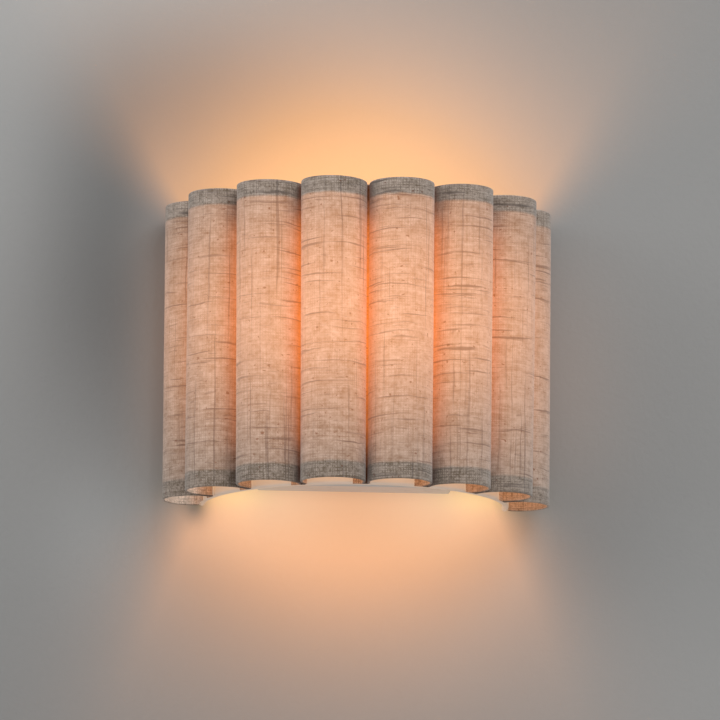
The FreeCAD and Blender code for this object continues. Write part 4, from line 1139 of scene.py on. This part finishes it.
def wall_finish(colours):
    """Wall paint with the soft grey of the room and the bulb's two beams on it."""
    finish = room_finish("wall_paint", colours.wall, grain=260, depth=0.00025, cover="back_box")
    place = finish.place
    x, z = place.part("X"), place.part("Z")

    # Grey of the room's own light, and lamplight through the cloth on the wall beside the shade
    left = hump(place, -0.138, 0.02, 0.02, 0.12)
    right = hump(place, 0.15, -0.02, 0.04, 0.1)
    grey = 0.907 + x * 0.079 + z * 0.128 - z * z * 0.771 - x * z.at_most(0) * 0.309 + left * 0.1
    for across, level, width, height, change in WALL_PATCHES:
        grey = grey + hump(place, across, level, width, height) * change

    # Beams from the two open ends. The lower one is weaker under the back box and in one corner.
    upper = beam(x, z, half=0.107, level=0.0655, far=0.1834, power=3.137, limit=0.952,
                 slope=1.192, edge=0.006, blur=0.66)
    lower = beam(x + 0.0034, z * -1, half=0.0989, level=0.0152, far=0.1176, power=2.377, limit=3.0,
                 slope=1.576, edge=0.02, blur=1.042)
    under_box = z.step(-0.14, -0.095) * abs(x).step(0.085, 0.055)
    lit_corner = 1 - hump(place, -0.109, -0.102, 0.009, 0.013)
    lower = lower * (0.265 - under_box * 0.05) * (0.2 + lit_corner * 0.8)
    within = abs(x).step(0.108, 0.09) * abs(z).step(0.088, 0.06)
    soft = (lower + left * 0.05 + right * 0.039 + within * 0.35).tint(colours.foot_glow)
    at_rim = 0.61
    upper_tint = (upper / at_rim).blend(colours.wall_glow, colours.rim_glow)

    # Light that the liner and the box throw back on the wall under their rims
    spill = hump(place, -0.059, -0.095, 0.05, 0.03) * lit_corner + hump(place, 0.06, -0.095, 0.05, 0.03)
    rims = hump(place, -0.084, -0.093, 0.024, 0.01) + hump(place, 0.085, -0.093, 0.024, 0.01)
    glow = upper_tint.times(upper)
    for light in (soft, rims.tint((0.03, 0.1, 0.02)), spill.tint((0.131, 0.148, 0.117))):
        glow = place.vector("ADD", glow, light)
    finish.feed(
        Base_Color=grey.at_least(0.2).tint(colours.wall),
        Emission_Color=glow,
        Emission_Strength=1.0,
    )
    return finish.material


def plane(name, corners, material):
    """One flat face through four corners, anticlockwise from its front."""
    mesh = bpy.data.meshes.new(name)
    mesh.from_pydata(corners, [], [(0, 1, 2, 3)])
    mesh.materials.append(material)
    made = bpy.data.objects.new(name, mesh)
    bpy.context.scene.collection.objects.link(made)


def soft_lamp(name, energy, place):
    """Large round lamp at a place of the room, turned towards the light on the wall."""
    lamp = bpy.data.lights.new(name, "AREA")
    lamp.shape = "DISK"
    lamp.size = 1.6
    lamp.energy = energy
    made = bpy.data.objects.new(name, lamp)
    made.location = place
    made.rotation_euler = (-made.location).to_track_quat("-Z", "Y").to_euler()
    bpy.context.scene.collection.objects.link(made)


def view_axes(view):
    """Right, up and back directions of the camera."""
    turn, rise = view.azimuth, view.elevation
    back = Vector((-math.sin(turn) * math.cos(rise), -math.cos(turn) * math.cos(rise), math.sin(rise)))
    right = Vector((math.cos(turn), -math.sin(turn), 0.0))
    up = back.cross(right)
    cosine, sine = math.cos(view.roll), math.sin(view.roll)
    return right * cosine + up * sine, up * cosine - right * sine, back


def camera_at(view):
    """Camera that sees the turning point at its own pixel of the picture."""
    right, up, back = view_axes(view)
    across, down = TURNING_PIXEL
    camera = bpy.data.cameras.new("camera")
    camera.sensor_width = 36
    camera.lens = view.lens
    camera.shift_x = (PICTURE_SIZE / 2 - across) / PICTURE_SIZE
    camera.shift_y = (down - PICTURE_SIZE / 2) / PICTURE_SIZE
    camera.clip_end = 50
    made = bpy.data.objects.new("camera", camera)
    axes = Matrix((right, up, back)).transposed().to_4x4()
    made.matrix_world = Matrix.Translation(TURNING_POINT + back * view.distance) @ axes
    bpy.context.scene.collection.objects.link(made)
    return made


class WALLLIGHT_OT_stage(bpy.types.Operator):
    """Set up the wall, the floor, the room's light and the camera"""

    bl_idname = "wall_light.stage"
    bl_label = "Room and Camera"

    def execute(self, context):
        scene = context.scene
        view = scene.view_settings_of_light
        colours = scene.light_colours
        left, right = -ROOM_HALF, ROOM_HALF
        plane("wall", [
            (left, WALL_FACE, FLOOR_LEVEL), (right, WALL_FACE, FLOOR_LEVEL),
            (right, WALL_FACE, WALL_TOP), (left, WALL_FACE, WALL_TOP),
        ], wall_finish(colours))
        plane("floor", [
            (left, ROOM_FRONT, FLOOR_LEVEL), (right, ROOM_FRONT, FLOOR_LEVEL),
            (right, WALL_FACE, FLOOR_LEVEL), (left, WALL_FACE, FLOOR_LEVEL),
        ], room_finish("floor_paint", colours.floor, grain=120, depth=0.0002).material)

        world = bpy.data.worlds.new("room")
        world.use_nodes = True
        sky = world.node_tree.nodes["Background"]
        sky.inputs["Color"].default_value = (0.97, 0.985, 1.0, 1.0)
        sky.inputs["Strength"].default_value = view.daylight
        scene.world = world

        soft_lamp("window", view.window, (0.9, -2.2, 1.5))
        soft_lamp("fill", view.fill, (-2.0, -0.8, 0.3))
        scene.camera = camera_at(view)
        scene.view_settings.view_transform = "Standard"
        return {"FINISHED"}


# Panel and start

class WALLLIGHT_PT_panel(bpy.types.Panel):
    """Lists the steps that dress the wall light, and its sizes and colours."""

    bl_idname = "WALLLIGHT_PT_panel"
    bl_label = "Wall Light"
    bl_space_type = "VIEW_3D"
    bl_region_type = "UI"
    bl_category = "Wall Light"

    def draw(self, context):
        for step in STEPS:
            self.layout.operator(step.bl_idname)
        for settings in (context.scene.cloth_sizes, context.scene.light_colours,
                         context.scene.view_settings_of_light):
            for name in settings.__annotations__:
                self.layout.prop(settings, name)


STEPS = (
    WALLLIGHT_OT_flutes, WALLLIGHT_OT_shade_frame, WALLLIGHT_OT_back_box, WALLLIGHT_OT_wiring,
    WALLLIGHT_OT_lampholder, WALLLIGHT_OT_bulb, WALLLIGHT_OT_stage,
)
CLASSES = (ClothSizes, LightColours, ViewSettings, *STEPS, WALLLIGHT_PT_panel)


def register():
    """Add the settings, the steps and the panel to Blender."""
    for item in CLASSES:
        bpy.utils.register_class(item)
    bpy.types.Scene.cloth_sizes = PointerProperty(type=ClothSizes)
    bpy.types.Scene.light_colours = PointerProperty(type=LightColours)
    bpy.types.Scene.view_settings_of_light = PointerProperty(type=ViewSettings)


def unregister():
    """Take out all that register adds."""
    del bpy.types.Scene.view_settings_of_light
    del bpy.types.Scene.light_colours
    del bpy.types.Scene.cloth_sizes
    for item in reversed(CLASSES):
        bpy.utils.unregister_class(item)


def main():
    """Dress the light and light the room."""
    register()
    bpy.ops.wall_light.flutes()
    bpy.ops.wall_light.shade_frame()
    bpy.ops.wall_light.back_box()
    bpy.ops.wall_light.wiring()
    bpy.ops.wall_light.lampholder()
    bpy.ops.wall_light.bulb()
    bpy.ops.wall_light.stage()


if __name__ == "__main__":
    main()
